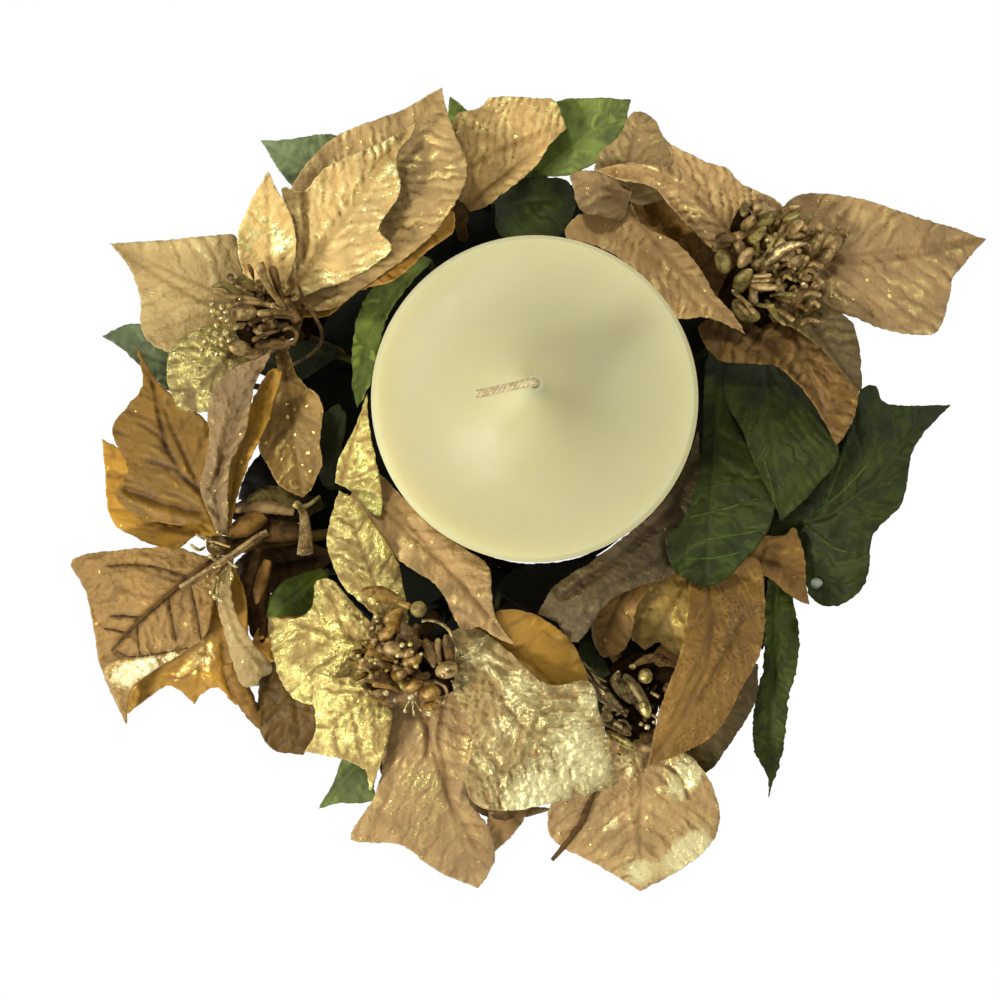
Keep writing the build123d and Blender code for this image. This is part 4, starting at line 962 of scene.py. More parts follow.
class Tree:
    """Short way to add nodes and wires to a shader node tree."""

    def __init__(self, tree):
        self.tree = tree

    def add(self, kind, **settings):
        node = self.tree.nodes.new("ShaderNode" + kind)
        for key, value in settings.items():
            setattr(node, key, value)
        return node

    def set(self, socket, value):
        if isinstance(value, bpy.types.NodeSocket):
            self.tree.links.new(value, socket)
        else:
            socket.default_value = value

    def noise(self, size_mm, detail=3.0, rough=0.55, distortion=0.0, noise_type="FBM"):
        node = self.add("TexNoise", noise_type=noise_type)
        self.set(node.inputs["Vector"], self.add("TexCoord").outputs["Object"])
        node.inputs["Scale"].default_value = 1 / (size_mm * MM)
        node.inputs["Detail"].default_value = detail
        node.inputs["Roughness"].default_value = rough
        node.inputs["Distortion"].default_value = distortion
        return node.outputs["Fac"]

    def math(self, kind, a, b):
        node = self.add("Math", operation=kind)
        self.set(node.inputs[0], a)
        self.set(node.inputs[1], b)
        return node.outputs[0]

    def ramp(self, value, low, high, to_low=0.0, to_high=1.0):
        node = self.add("MapRange", interpolation_type="SMOOTHSTEP")
        for socket, v in zip(node.inputs, (value, low, high, to_low, to_high)):
            self.set(socket, v)
        return node.outputs[0]

    def mix(self, fac, a, b):
        node = self.add("Mix", data_type="RGBA")
        self.set(node.inputs[0], fac)
        self.set(node.inputs[6], a)
        self.set(node.inputs[7], b)
        return node.outputs[2]

    def bump(self, height, strength, distance_mm, normal=None):
        node = self.add("Bump")
        self.set(node.inputs["Height"], height)
        self.set(node.inputs["Strength"], strength)
        node.inputs["Distance"].default_value = distance_mm * MM
        if normal:
            self.set(node.inputs["Normal"], normal)
        return node.outputs["Normal"]

    def attribute(self, name):
        return self.add("Attribute", attribute_name=name).outputs["Fac"]


def new_material(name):
    """A new material, its node tree and the shader in it."""
    material = bpy.data.materials.new(name)
    material.use_nodes = True
    return material, Tree(material.node_tree), material.node_tree.nodes["Principled BSDF"]


print("a grey of 200 in the picture is", round(linear(200, 200, 200)[0], 3), "in the scene")

# %% [markdown]
# ## The foil print
#
# Foil print on cloth is a matt tan ground with metal where the foil took. The foil takes best on the crumple
# and thins out in the ribs. Painted shade darkens the hollows of the crumple, and a painted highlight
# lightens its ridges and the sheet's edge.
# One node group works out the masks, and every finish mixes its own colours from them.

# %% The foil print
def foil_group():
    """Masks of the print: where the foil took, where it glitters, painted shade and highlight from the
    relief, and a painted highlight along the edge.
    """
    group = bpy.data.node_groups.new("foil print", "ShaderNodeTree")
    face = group.interface
    for title in ("Cover", "Glitter", "Crinkle"):
        face.new_socket(title, in_out="INPUT", socket_type="NodeSocketFloat")
    for title in ("Foil", "Sparkle", "Edge", "Vein", "Low", "High", "Gilt"):
        face.new_socket(title, in_out="OUTPUT", socket_type="NodeSocketFloat")
    face.new_socket("Normal", in_out="OUTPUT", socket_type="NodeSocketVector")
    t = Tree(group)
    given = group.nodes.new("NodeGroupInput")
    result = group.nodes.new("NodeGroupOutput")
    vein = t.attribute("vein")
    raised = t.attribute("raised")
    # Where the foil took: in patches, less in the ribs, more on the crumple
    patches = t.noise(8, 4, 0.62, distortion=0.6)
    level = t.math("ADD", t.math("SUBTRACT", patches, 0.5), given.outputs["Cover"])
    level = t.math("SUBTRACT", level, t.math("MULTIPLY", vein, 0.24))
    wrinkle = t.noise(2.6, 3, 0.55, distortion=0.9, noise_type="RIDGED_MULTIFRACTAL")
    level = t.math("ADD", level, t.math("MULTIPLY", t.math("SUBTRACT", raised, 0.5), 0.3))
    level = t.math("ADD", level, t.math("MULTIPLY", t.math("SUBTRACT", wrinkle, 0.5), 0.12))
    level = t.math("ADD", level, t.attribute("gilt"))
    foil = t.ramp(level, 0.4, 0.64)
    # Glitter: round grains, of which a share is lit
    grains = t.add("TexVoronoi", feature="F1")
    t.set(grains.inputs["Vector"], t.add("TexCoord").outputs["Object"])
    grains.inputs["Scale"].default_value = 1 / (1.7 * MM)
    dot = t.ramp(grains.outputs["Distance"], 0.26, 0.36, 1.0, 0.0)
    pick = t.add("SeparateColor")
    t.set(pick.inputs[0], grains.outputs["Color"])
    share = t.math("ADD", given.outputs["Glitter"], t.math("MULTIPLY", t.attribute("gilt"), 0.6))
    sparkle = t.math("MULTIPLY", dot, t.math("LESS_THAN", pick.outputs[0], share))
    # Painted highlight along the sheet's edge
    edge = t.ramp(t.attribute("edge"), 0.1, 0.45, 1.0, 0.0)
    # Painted shade in the hollows of the relief and a painted highlight on its ridges
    low = t.ramp(raised, 0.1, 0.5, 1.0, 0.0)
    high = t.ramp(raised, 0.55, 0.95)
    gilt_highlight = t.math("MULTIPLY", t.ramp(t.attribute("gilt"), 0.1, 0.4), foil)
    # Small relief: the weave, the grains and the crinkle of the foil
    weave = t.noise(0.35, 2, 0.6)
    crumple = t.noise(1.9, 4, 0.62, distortion=1.4)
    normal = t.bump(weave, 0.15, 0.1)
    normal = t.bump(sparkle, 0.6, 0.3, normal)
    folded = t.math("ADD", t.math("MULTIPLY", wrinkle, 0.55), t.math("MULTIPLY", crumple, 0.6))
    normal = t.bump(folded, given.outputs["Crinkle"], 1.1, normal)
    masks = {"Foil": foil, "Sparkle": sparkle, "Edge": edge, "Vein": vein, "Low": low, "High": high,
             "Gilt": gilt_highlight, "Normal": normal}
    for title, value in masks.items():
        t.set(result.inputs[title], value)
    return group


foil_print = foil_group()
print("nodes in the foil print:", len(foil_print.nodes))

# %% [markdown]
# ## Finishes of bracts and leaves
#
# A bract mixes its ground, its foil and its grooves from the masks. It is metallic only where foil
# lies, because bare cloth that shines like metal would look like plastic.
# A leaf has no foil: its tone changes a little from place to place, its veins are paler, and a painted
# highlight lightens its raised points.

# %% Materials of bracts and leaves
gilt_highlight_colour = (255, 246, 186)


def foil_material(name, ground, foil, deep, cover, glitter, crinkle):
    material, t, shader = new_material(name)
    masks = t.add("Group", node_tree=foil_print)
    for title, value in (("Cover", cover), ("Glitter", glitter), ("Crinkle", crinkle)):
        masks.inputs[title].default_value = value
    bright = t.math("MAXIMUM", masks.outputs["Foil"], masks.outputs["Sparkle"])
    tone = t.ramp(t.noise(14, 3, 0.5), 0.3, 0.7)

    def laid(mask, strength, layer, under):
        """The layer over the colour under it, as far as the mask lets it show."""
        return t.mix(t.math("MULTIPLY", masks.outputs[mask], strength), under, linear(*layer))

    colour = t.mix(tone, linear(*ground), linear(*[c * 0.86 for c in ground]))
    # Painted shade in the hollows, then a painted highlight of foil colour on the ridges
    colour = laid("Low", 0.25, deep, colour)
    colour = laid("High", 0.3, foil, colour)
    colour = t.mix(bright, colour, linear(*foil))
    # The groove colour on the ribs, the midrib and the folds: partly the print's dark veins, partly painted
    # shade in the creases
    colour = laid("Vein", 0.8, deep, colour)
    # Painted highlight of foil colour along the edge
    colour = laid("Edge", 0.22, foil, colour)
    # Gilt spots in pale gold, partly foil and partly a painted highlight; less metal there keeps the painted
    # highlight light
    colour = laid("Gilt", 0.75, gilt_highlight_colour, colour)
    t.set(shader.inputs["Base Color"], colour)
    metal = t.math("SUBTRACT", 0.8, t.math("MULTIPLY", masks.outputs["Gilt"], 0.35))
    t.set(shader.inputs["Metallic"], t.math("MULTIPLY", bright, metal))
    t.set(shader.inputs["Roughness"], t.ramp(bright, 0.0, 1.0, 0.55, 0.27))
    t.set(shader.inputs["Normal"], masks.outputs["Normal"])
    shader.inputs["Specular IOR Level"].default_value = 0.35
    return material


def leaf_material(name, ground, vein):
    material, t, shader = new_material(name)
    tone = t.ramp(t.noise(7, 4, 0.6), 0.3, 0.72)
    darker, lighter, painted_ridge_highlight = (linear(*[min(255, c * k) for c in ground]) for k in (0.72, 1.12, 1.25))
    body = t.mix(tone, darker, lighter)
    # Painted highlight on the raised points of the relief
    body = t.mix(t.ramp(t.attribute("raised"), 0.5, 0.95), body, painted_ridge_highlight)
    colour = t.mix(t.math("MULTIPLY", t.attribute("vein"), 0.6), body, linear(*vein))
    t.set(shader.inputs["Base Color"], colour)
    shader.inputs["Roughness"].default_value = 0.6
    shader.inputs["Specular IOR Level"].default_value = 0.25
    normal = t.bump(t.noise(0.4, 2, 0.6), 0.25, 0.12)
    t.set(shader.inputs["Normal"], t.bump(t.noise(2.2, 3, 0.6, distortion=0.8), 0.12, 0.5, normal))
    return material


# %% Finishes of bracts and leaves
# Ground, foil and groove colours, then how much foil took, the glitter and the crinkle; the groove colour
# also serves as painted shade
print_colours = {
    "pale": ((204, 173, 109), (230, 212, 146), (132, 102, 50), 0.42, 0.06, 0.65),
    "foil": ((180, 152, 84), (240, 224, 138), (104, 78, 28), 0.58, 0.1, 1.0),
    "tan": ((180, 148, 92), (214, 190, 120), (110, 80, 38), 0.36, 0.08, 0.55),
    "rose": ((180, 146, 94), (214, 188, 120), (108, 78, 38), 0.38, 0.06, 0.6),
    "amber": ((160, 118, 32), (192, 150, 58), (76, 48, 14), 0.32, 0.02, 0.3),
    "ochre": ((156, 122, 60), (232, 206, 120), (84, 58, 20), 0.3, 0.3, 0.35),
    "bronze": ((138, 102, 42), (180, 144, 74), (72, 48, 20), 0.32, 0.02, 0.3),
    "brown": ((92, 66, 30), (128, 98, 50), (44, 28, 10), 0.3, 0.03, 0.5),
    "umber": ((152, 117, 60), (186, 152, 86), (66, 44, 14), 0.36, 0.02, 0.6),
    "olive": ((142, 115, 52), (192, 166, 90), (62, 46, 18), 0.36, 0.08, 0.45),
    "back": ((122, 92, 46), (150, 118, 64), (74, 50, 22), 0.2, 0.0, 0.2),
}
# Ground and vein colours
leaf_colours = {
    "dark leaf": ((46, 55, 10), (84, 98, 36)),
    "mid leaf": ((62, 74, 8), (112, 124, 46)),
    "leaf": ((96, 110, 48), (134, 142, 74)),
    "grey leaf": ((100, 112, 76), (132, 142, 98)),
    "leaf back": ((62, 74, 40), (86, 96, 54)),
}
brightest = 250
finishes = {}


def finish(name, shade=1.0):
    """The named finish, lighter or darker by the shade, made once for each pair; the shade is partly a
    sheet's own tone and partly painted light and shade.
    """
    key = f"{name} print {shade}"
    if key not in finishes:
        colours = print_colours.get(name) or leaf_colours[name]
        shaded = [tuple(min(brightest, c * shade) for c in v) if isinstance(v, tuple) else v for v in colours]
        finishes[key] = foil_material(key, *shaded) if name in print_colours else leaf_material(key, *shaded)
    return finishes[key]


print(len(print_colours), "printed finishes and", len(leaf_colours), "for leaves")

# %% [markdown]
# ## Bracts and leaves
#
# Each plain sheet from the frame is replaced by its crumpled one, which stays in the same place.
# The top has the finish of its look, and the back and the rim have a plain one.

# %% Bracts and leaves
def finished_sheet(title, sheet):
    look = looks[title]
    piece = sheet_piece(title + "_cloth", sheet, look)
    piece.data.materials.append(finish(look["finish"], look.get("shade", 1.0)))
    piece.data.materials.append(finish("leaf back" if "leaf" in look["finish"] else "back"))
    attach(piece, "ring")
    return piece


for title, sheet in bract_sheets.items():
    piece = finished_sheet(title, sheet)
    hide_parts(title)
small_pieces = []
for title, sheet in leaf_sheets.items():
    piece = finished_sheet(title, sheet)
    if title in small_leaves:
        small_pieces.append(piece)
    else:
        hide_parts(title)
for piece in small_pieces:
    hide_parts("small_leaves")
print("bracts:", len(bract_sheets), " leaves:", len(leaf_sheets), " of these small:", len(small_pieces))

# %% [markdown]
# ## Tubes
#
# Buds, wires, curled petals and glass beads are all tubes along a path, with a radius at each
# step. The section is carried along the path without a twist, so a bent wire stays round.
# A kind says how its radius changes, and how flat, arched and furrowed its tube is.

# %% Tubes
def tube(path, radii, sides=8, flat=1.0):
    """Rings of points along a path, as vertices and faces, ends closed."""
    path = [Vector(p) for p in path]
    heading = (path[1] - path[0]).normalized()
    across = heading.cross(Vector((0, 0, 1)))
    across = across.normalized() if across.length > 0.05 else Vector((0, 1, 0))
    verts, faces = [], []
    for k, (p, r) in enumerate(zip(path, radii)):
        ahead = (path[min(k + 1, len(path) - 1)] - path[max(k - 1, 0)]).normalized()
        across.rotate(heading.rotation_difference(ahead))
        heading = ahead
        up = ahead.cross(across)
        for n in range(sides):
            angle = 2 * math.pi * n / sides
            verts.append(p + across * r * math.cos(angle) + up * r * flat * math.sin(angle))
    for k in range(len(path) - 1):
        for n in range(sides):
            a, b = k * sides + n, k * sides + (n + 1) % sides
            faces.append((a, b, b + sides, a + sides))
    faces.append(tuple(range(sides))[::-1])
    faces.append(tuple(range(len(verts) - sides, len(verts))))
    return verts, faces


def smooth_mesh(name, verts, faces):
    mesh = bpy.data.meshes.new(name)
    mesh.from_pydata(verts, [], faces)
    mesh.polygons.foreach_set("use_smooth", [True] * len(mesh.polygons))
    return mesh


# %% Kinds of tubes
def bud_shape(t):
    return max(0.02, 1 - (2 * t - 1) ** 2) ** 0.5


def tube_shape(t):
    return (0.55 + 0.45 * t) * max(0.02, 1 - max(0.0, (t - 0.86) / 0.14) ** 2) ** 0.5


def petal_shape(t):
    return max(0.03, math.sin(math.pi * min(1.0, 0.12 + 0.88 * t)) ** 0.55)


# For each kind: its profile, how flat it is, how far it arches and the depth of its furrows
kinds = {
    "bud": (bud_shape, 0.85, 0.0, 0.05),
    "tube": (tube_shape, 0.8, 0.15, 0.1),
    "petal": (petal_shape, 0.4, 0.25, 0.22),
    "wire": (lambda t: 1.0, 1.0, 0.1, 0.0),
    "strip": (petal_shape, 0.2, 0.3, 0.35),
    "sleeve": (lambda t: 0.35 + 0.65 * t, 0.7, 0.0, 0.1),
}
print("kinds:", ", ".join(kinds))

# %% [markdown]
# ## Stamens
#
# Each flower's middle is a bunch of curled petals, buds, wires and glass beads. The ones that the
# picture shows are placed one by one: kind, finish, half width in pixels, heights of foot and tip
# as shares of the cluster's height, and the chain of pixels from foot to tip.

# %% One placed piece
placed_sides = 14
curve_steps = 6
fewest_steps = 12
# Waves per metre of the lumps that break up a smooth tube
lump_waves = 900
bead_sides = 12
# A bead stops just short of its poles, in radians
bead_turn = 1.5


def level_at(key, share):
    """Height in millimetres at a share of the cluster's height."""
    low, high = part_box(f"stamens_{key}")
    return (low[2] + (high[2] - low[2]) * share) / MM


def placed_mesh(kind, wide_px, heights, chain):
    """One placed piece, from its heights in millimetres at the foot and the tip."""
    profile, flat, arch, furrow = kinds[kind]
    smooth = smooth_chain(chain, curve_steps)
    curve = resample(smooth, 1.0)
    if len(curve) < fewest_steps:
        curve = resample(smooth, np.hypot(*np.subtract(chain[-1], chain[0])) / fewest_steps)
    path, radii = [], []
    for (x, y), t in zip(curve, np.linspace(0, 1, len(curve))):
        z = heights[0] + (heights[1] - heights[0]) * t + arch * wide_px * 0.25 * math.sin(math.pi * t)
        path.append(Vector(place(x, y, z)) * MM)
        radii.append(wide_px * scale_at(z) * profile(t) * MM)
    verts, faces = tube(path, radii, placed_sides, flat)
    for k, centre in enumerate(path):
        for n in range(placed_sides):
            lump = noise.noise(centre * lump_waves + Vector((n, 0, 0)))
            at = k * placed_sides + n
            verts[at] = centre + (verts[at] - centre) * (1 - furrow * (n % 2) - 0.5 * furrow * lump)
    return smooth_mesh("placed", verts, faces)


def bead_ball(x, y, wide_px, z):
    centre = Vector(place(x, y, z)) * MM
    radius = wide_px * scale_at(z) * MM
    turns = np.linspace(-bead_turn, bead_turn, 9)
    path = [centre + Vector((0, 0, radius * math.sin(a))) for a in turns]
    return smooth_mesh("bead", *tube(path, [radius * math.cos(a) for a in turns], bead_sides))


print("stamens of flower a reach from", round(level_at("a", 0)), "to", round(level_at("a", 1)), "mm")

# %% Placed pieces
# The large nearly black petals at the foot of each cluster are painted shade in the hollow under the stamens
placed = {
    "a": [
        ("petal", "dark bud", 14.0, (0.1, 0.2), [(236, 338), (262, 332), (292, 320)]),
        ("petal", "brown bud", 13.0, (0.1, 0.3), [(258, 326), (280, 306), (298, 322)]),
        ("petal", "dark bud", 9.0, (0.2, 0.3), [(236, 326), (254, 330), (276, 334)]),
        ("petal", "brown bud", 7.0, (0.2, 0.5), [(236, 352), (256, 354), (286, 346)]),
        ("petal", "olive bud", 4.5, (0.5, 0.8), [(254, 296), (238, 293), (224, 285), (211, 287)]),
        ("tube", "brown bud", 2.2, (0.6, 0.95), [(262, 292), (246, 287), (236, 282), (230, 276)]),
        ("bud", "brown bud", 3.6, (0.95, 0.95), [(233, 280), (228, 274)]),
        ("petal", "olive bud", 4.2, (0.5, 0.85), [(258, 289), (248, 282), (240, 280), (232, 285)]),
        ("tube", "tan bud", 3.4, (0.5, 0.85), [(264, 301), (246, 298), (228, 296), (213, 290)]),
        ("tube", "tan bud", 5.0, (0.4, 1.0), [(284, 308), (273, 293), (264, 279), (258, 263)]),
        ("tube", "brown bud", 5.0, (0.4, 0.8), [(282, 302), (277, 284), (272, 266)]),
        ("tube", "tan bud", 3.6, (0.4, 0.7), [(286, 313), (268, 305), (250, 303), (233, 305)]),
        ("bud", "tan bud", 8.0, (0.6, 0.75), [(258, 312), (244, 313), (231, 314)]),
        ("tube", "tan bud", 4.0, (0.5, 0.85), [(290, 313), (274, 312), (257, 314)]),
        ("tube", "brown bud", 3.0, (0.4, 0.75), [(292, 318), (276, 316), (262, 321)]),
        ("bud", "tan bud", 3.6, (0.6, 0.7), [(240, 326), (229, 328)]),
        ("bud", "tan bud", 8.0, (0.5, 0.7), [(252, 351), (240, 348), (228, 344)]),
        ("wire", "brown bud", 2.0, (0.6, 0.9), [(283, 330), (291, 328), (297, 334), (293, 343),
            (286, 341)]),
        ("tube", "brown bud", 3.0, (0.5, 0.7), [(280, 330), (266, 334), (252, 341)]),
        ("tube", "brown bud", 3.0, (0.5, 0.8), [(300, 320), (292, 308), (285, 299)]),
        ("tube", "brown bud", 4.0, (0.3, 0.6), [(288, 324), (272, 326), (258, 328)]),
        ("petal", "brown bud", 6.0, (0.3, 0.5), [(290, 346), (272, 344), (254, 346)]),
    ],
    "c": [
        ("petal", "dark bud", 17.0, (0.1, 0.2), [(724, 304), (752, 270), (780, 240)]),
        ("petal", "dark bud", 17.0, (0.1, 0.2), [(752, 322), (778, 292), (800, 258)]),
        ("petal", "brown bud", 13.0, (0.2, 0.3), [(770, 318), (794, 300), (814, 282)]),
        ("petal", "dark bud", 10.0, (0.3, 0.4), [(734, 234), (742, 222), (744, 206)]),
        ("tube", "olive bud", 3.4, (0.4, 0.6), [(756, 262), (758, 250), (754, 238)]),
        ("tube", "olive bud", 3.0, (0.5, 0.7), [(764, 256), (772, 244), (776, 232)]),
        ("petal", "brown bud", 5.0, (0.4, 0.6), [(726, 252), (730, 240), (738, 232)]),
        ("tube", "tan bud", 2.6, (0.5, 0.8), [(780, 268), (788, 264), (796, 270)]),
        ("tube", "olive bud", 3.0, (0.4, 0.7), [(770, 296), (784, 294), (796, 296)]),
        ("petal", "tan bud", 5.0, (0.4, 0.8), [(776, 240), (790, 236), (806, 236)]),
        ("petal", "olive bud", 5.0, (0.4, 0.7), [(776, 222), (786, 218), (800, 214)]),
        ("tube", "tan bud", 3.0, (0.5, 0.7), [(808, 310), (814, 302), (820, 308)]),
        ("tube", "tan bud", 3.2, (0.5, 0.7), [(812, 286), (818, 280), (824, 284)]),
        ("tube", "brown bud", 3.0, (0.4, 0.7), [(790, 310), (800, 306), (808, 312)]),
        ("petal", "tan bud", 4.0, (0.4, 0.7), [(800, 326), (808, 320), (820, 322)]),
        ("petal", "olive bud", 4.0, (0.4, 0.6), [(766, 300), (774, 312), (786, 326)]),
        ("tube", "tan bud", 2.4, (0.6, 0.8), [(782, 282), (786, 276), (792, 280)]),
        ("petal", "brown bud", 4.4, (0.4, 0.6), [(752, 262), (766, 268), (782, 268)]),
        ("bud", "olive bud", 8.5, (0.5, 0.6), [(720, 250), (723, 261), (726, 273)]),
        ("bud", "tan bud", 6.5, (0.6, 0.8), [(739, 268), (745, 258), (752, 248)]),
        ("petal", "silver bud", 6.2, (0.5, 1.0), [(762, 267), (773, 257), (787, 247), (807, 243)]),
        ("bud", "tan bud", 6.0, (0.6, 0.8), [(807, 257), (798, 261), (788, 266)]),
        ("petal", "olive bud", 8.5, (0.5, 0.8), [(738, 292), (742, 280), (752, 269)]),
        ("tube", "tan bud", 2.4, (0.6, 0.8), [(748, 276), (760, 276), (772, 275)]),
        ("tube", "tan bud", 2.4, (0.6, 0.75), [(748, 281), (760, 281), (771, 280)]),
        ("bud", "tan bud", 4.2, (0.6, 0.85), [(750, 285), (765, 287), (780, 287)]),
        ("tube", "tan bud", 3.0, (0.5, 0.85), [(740, 296), (748, 305), (755, 314)]),
        ("tube", "tan bud", 3.0, (0.5, 0.8), [(735, 301), (743, 309), (750, 316)]),
        ("bud", "olive bud", 9.0, (0.35, 0.5), [(734, 300), (744, 312), (760, 318)]),
        ("tube", "tan bud", 2.6, (0.5, 0.9), [(752, 306), (742, 299), (732, 290)]),
        ("wire", "olive bud", 2.2, (0.5, 0.7), [(758, 305), (766, 306), (774, 306)]),
        ("tube", "tan bud", 3.0, (0.5, 0.8), [(778, 310), (786, 315), (794, 321)]),
        ("petal", "tan bud", 7.5, (0.5, 0.9), [(786, 232), (794, 228), (804, 222)]),
        ("petal", "tan bud", 5.0, (0.4, 0.9), [(772, 226), (782, 212), (800, 206)]),
        ("bud", "olive bud", 6.5, (0.5, 0.8), [(758, 226), (768, 219), (776, 212)]),
        ("bud", "tan bud", 5.5, (0.5, 0.9), [(742, 230), (748, 223), (755, 217)]),
        ("bud", "olive bud", 5.0, (0.5, 0.7), [(744, 202), (745, 209), (743, 216)]),
        ("petal", "brown bud", 6.0, (0.5, 0.6), [(716, 240), (726, 238), (738, 240)]),
        ("petal", "olive bud", 6.0, (0.5, 0.7), [(748, 240), (757, 236), (766, 226)]),
        ("tube", "tan bud", 3.0, (0.5, 0.8), [(798, 274), (803, 266), (808, 256)]),
        ("bud", "tan bud", 3.0, (0.8, 0.8), [(801, 284), (808, 287)]),
        ("tube", "tan bud", 3.0, (0.5, 0.8), [(802, 298), (810, 293), (822, 296)]),
        ("tube", "tan bud", 3.4, (0.5, 0.7), [(806, 268), (814, 264), (824, 268)]),
        ("tube", "tan bud", 3.0, (0.5, 0.7), [(800, 278), (803, 272), (812, 270)]),
        ("tube", "brown bud", 2.6, (0.5, 0.7), [(776, 298), (784, 300), (792, 302)]),
        ("wire", "brown bud", 1.6, (0.5, 0.8), [(784, 276), (788, 270), (794, 272)]),
        ("wire", "tan bud", 1.4, (0.5, 0.8), [(790, 290), (794, 286), (797, 291)]),
        ("tube", "brown bud", 3.0, (0.4, 0.6), [(798, 316), (797, 308), (800, 300)]),
    ],
    "d": [
        ("wire", "glass bead", 1.5, (0.7, 1.0), [(227, 559), (231, 564), (237, 567)]),
        ("tube", "glass bead", 2.2, (0.7, 0.9), [(224, 564), (218, 566), (213, 567)]),
        ("bud", "glass bead", 2.4, (0.9, 0.9), [(231, 571), (232, 581)]),
        ("wire", "glass bead", 1.4, (0.6, 0.9), [(228, 567), (223, 572), (218, 577), (212, 580)]),
        ("wire", "glass bead", 1.4, (0.6, 0.9), [(220, 578), (217, 588), (218, 597), (223, 601)]),
        ("wire", "tan bud", 2.2, (0.75, 0.85), [(180, 587), (210, 568), (236, 551), (254, 538),
            (267, 531)]),
        ("wire", "brown bud", 1.6, (0.7, 0.8), [(182, 590), (212, 571), (238, 554), (256, 541),
            (268, 534)]),
        ("wire", "tan bud", 1.3, (0.55, 0.6), [(196, 534), (206, 540), (218, 543), (230, 547)]),
    ],
    "e": [
        ("petal", "dark bud", 15.0, (0.1, 0.2), [(372, 690), (394, 670), (414, 644)]),
        ("petal", "dark bud", 16.0, (0.1, 0.2), [(444, 694), (434, 664), (424, 632)]),
        ("petal", "dark bud", 13.0, (0.1, 0.2), [(362, 652), (384, 656), (410, 662)]),
        ("petal", "brown bud", 12.0, (0.2, 0.3), [(382, 700), (410, 694), (436, 680)]),
        ("bud", "olive bud", 8.5, (1.0, 1.0), [(411, 606), (419, 609), (427, 610)]),
        ("bud", "dark bud", 7.0, (0.8, 0.8), [(421, 628), (434, 628)]),
        ("bud", "tan bud", 7.5, (0.8, 0.9), [(384, 650), (391, 648), (400, 650)]),
        ("bud", "amber bud", 6.0, (0.5, 0.8), [(392, 672), (398, 676), (406, 672)]),
        ("tube", "brown bud", 3.0, (0.5, 0.8), [(390, 644), (378, 638), (368, 634)]),
        ("tube", "amber bud", 3.0, (0.5, 0.8), [(390, 700), (378, 700), (368, 696)]),
        ("bud", "amber bud", 6.5, (0.6, 0.8), [(366, 658), (374, 654), (382, 656)]),
        ("petal", "amber bud", 7.5, (0.9, 1.0), [(399, 601), (386, 596), (374, 592), (360, 592)]),
        ("tube", "amber bud", 4.2, (0.8, 0.95), [(386, 599), (398, 602), (411, 607)]),
        ("petal", "amber bud", 9.0, (0.7, 0.9), [(398, 632), (392, 620), (402, 608)]),
        ("petal", "brown bud", 7.5, (0.7, 0.85), [(416, 644), (408, 634), (402, 622)]),
        ("petal", "amber bud", 7.0, (0.7, 0.8), [(380, 640), (388, 632), (396, 626)]),
        ("wire", "silver bud", 1.8, (0.8, 1.0), [(422, 621), (434, 621), (446, 627), (453, 638),
            (457, 652)]),
        ("petal", "brown bud", 6.0, (0.6, 0.8), [(424, 640), (430, 650), (434, 668)]),
        ("petal", "amber bud", 8.0, (0.6, 0.75), [(404, 664), (413, 660), (422, 656)]),
        ("bud", "tan bud", 9.0, (0.7, 0.8), [(436, 674), (446, 670), (458, 668)]),
        ("tube", "tan bud", 3.6, (0.6, 0.9), [(440, 664), (438, 652), (438, 638)]),
        ("petal", "brown bud", 6.0, (0.6, 0.9), [(450, 662), (449, 650), (445, 634)]),
        ("petal", "amber bud", 7.0, (0.6, 0.7), [(404, 690), (414, 685), (424, 682)]),
        ("bud", "amber bud", 9.0, (0.6, 0.75), [(418, 696), (428, 694), (440, 690)]),
        ("wire", "tan bud", 1.6, (0.7, 0.9), [(436, 682), (444, 686), (447, 694), (443, 704)]),
        ("wire", "glass bead", 1.0, (0.8, 0.9), [(411, 698), (406, 706), (404, 712)]),
        ("wire", "glass bead", 1.0, (0.8, 0.9), [(412, 698), (413, 708), (414, 716)]),
        ("wire", "glass bead", 1.0, (0.8, 0.9), [(413, 698), (417, 705), (421, 711)]),
        ("tube", "amber bud", 3.4, (0.6, 0.8), [(398, 690), (386, 686), (372, 684)]),
        ("petal", "brown bud", 6.0, (0.5, 0.8), [(392, 668), (378, 664), (362, 666)]),
        ("petal", "amber bud", 6.5, (0.5, 0.8), [(386, 652), (374, 646), (362, 642)]),
        ("petal", "brown bud", 7.0, (0.5, 0.7), [(392, 682), (378, 678), (364, 680)]),
        ("tube", "amber bud", 4.0, (0.6, 0.9), [(394, 660), (380, 656), (368, 650)]),
        ("bud", "amber bud", 6.0, (0.6, 0.8), [(424, 704), (430, 708), (438, 704)]),
    ],
    "f": [
        ("petal", "dark bud", 24.0, (0.0, 0.1), [(602, 690), (632, 694), (666, 690)]),
        ("petal", "dark bud", 17.0, (0.0, 0.1), [(606, 722), (632, 726), (656, 720)]),
        ("petal", "dark bud", 13.0, (0.1, 0.2), [(640, 664), (654, 680), (668, 704)]),
        ("petal", "dark bud", 12.0, (0.1, 0.1), [(612, 676), (632, 664), (656, 660)]),
        ("petal", "silver bud", 7.5, (0.5, 0.8), [(634, 702), (624, 692), (616, 680), (620, 670)]),
        ("bud", "silver bud", 8.5, (0.5, 0.9), [(624, 674), (634, 690), (642, 704), (649, 718)]),
        ("bud", "gold bud", 6.0, (0.95, 1.0), [(641, 701), (645, 708), (648, 717)]),
        ("bud", "gold bud", 8.0, (0.9, 0.9), [(639, 672), (646, 676), (653, 677)]),
        ("petal", "brown bud", 5.0, (0.8, 1.0), [(672, 664), (656, 658), (642, 661), (631, 667)]),
        ("bud", "glass bead", 3.0, (1.0, 1.0), [(629, 666), (636, 667)]),
        ("petal", "dark bud", 8.5, (0.7, 0.8), [(654, 674), (666, 674), (680, 673)]),
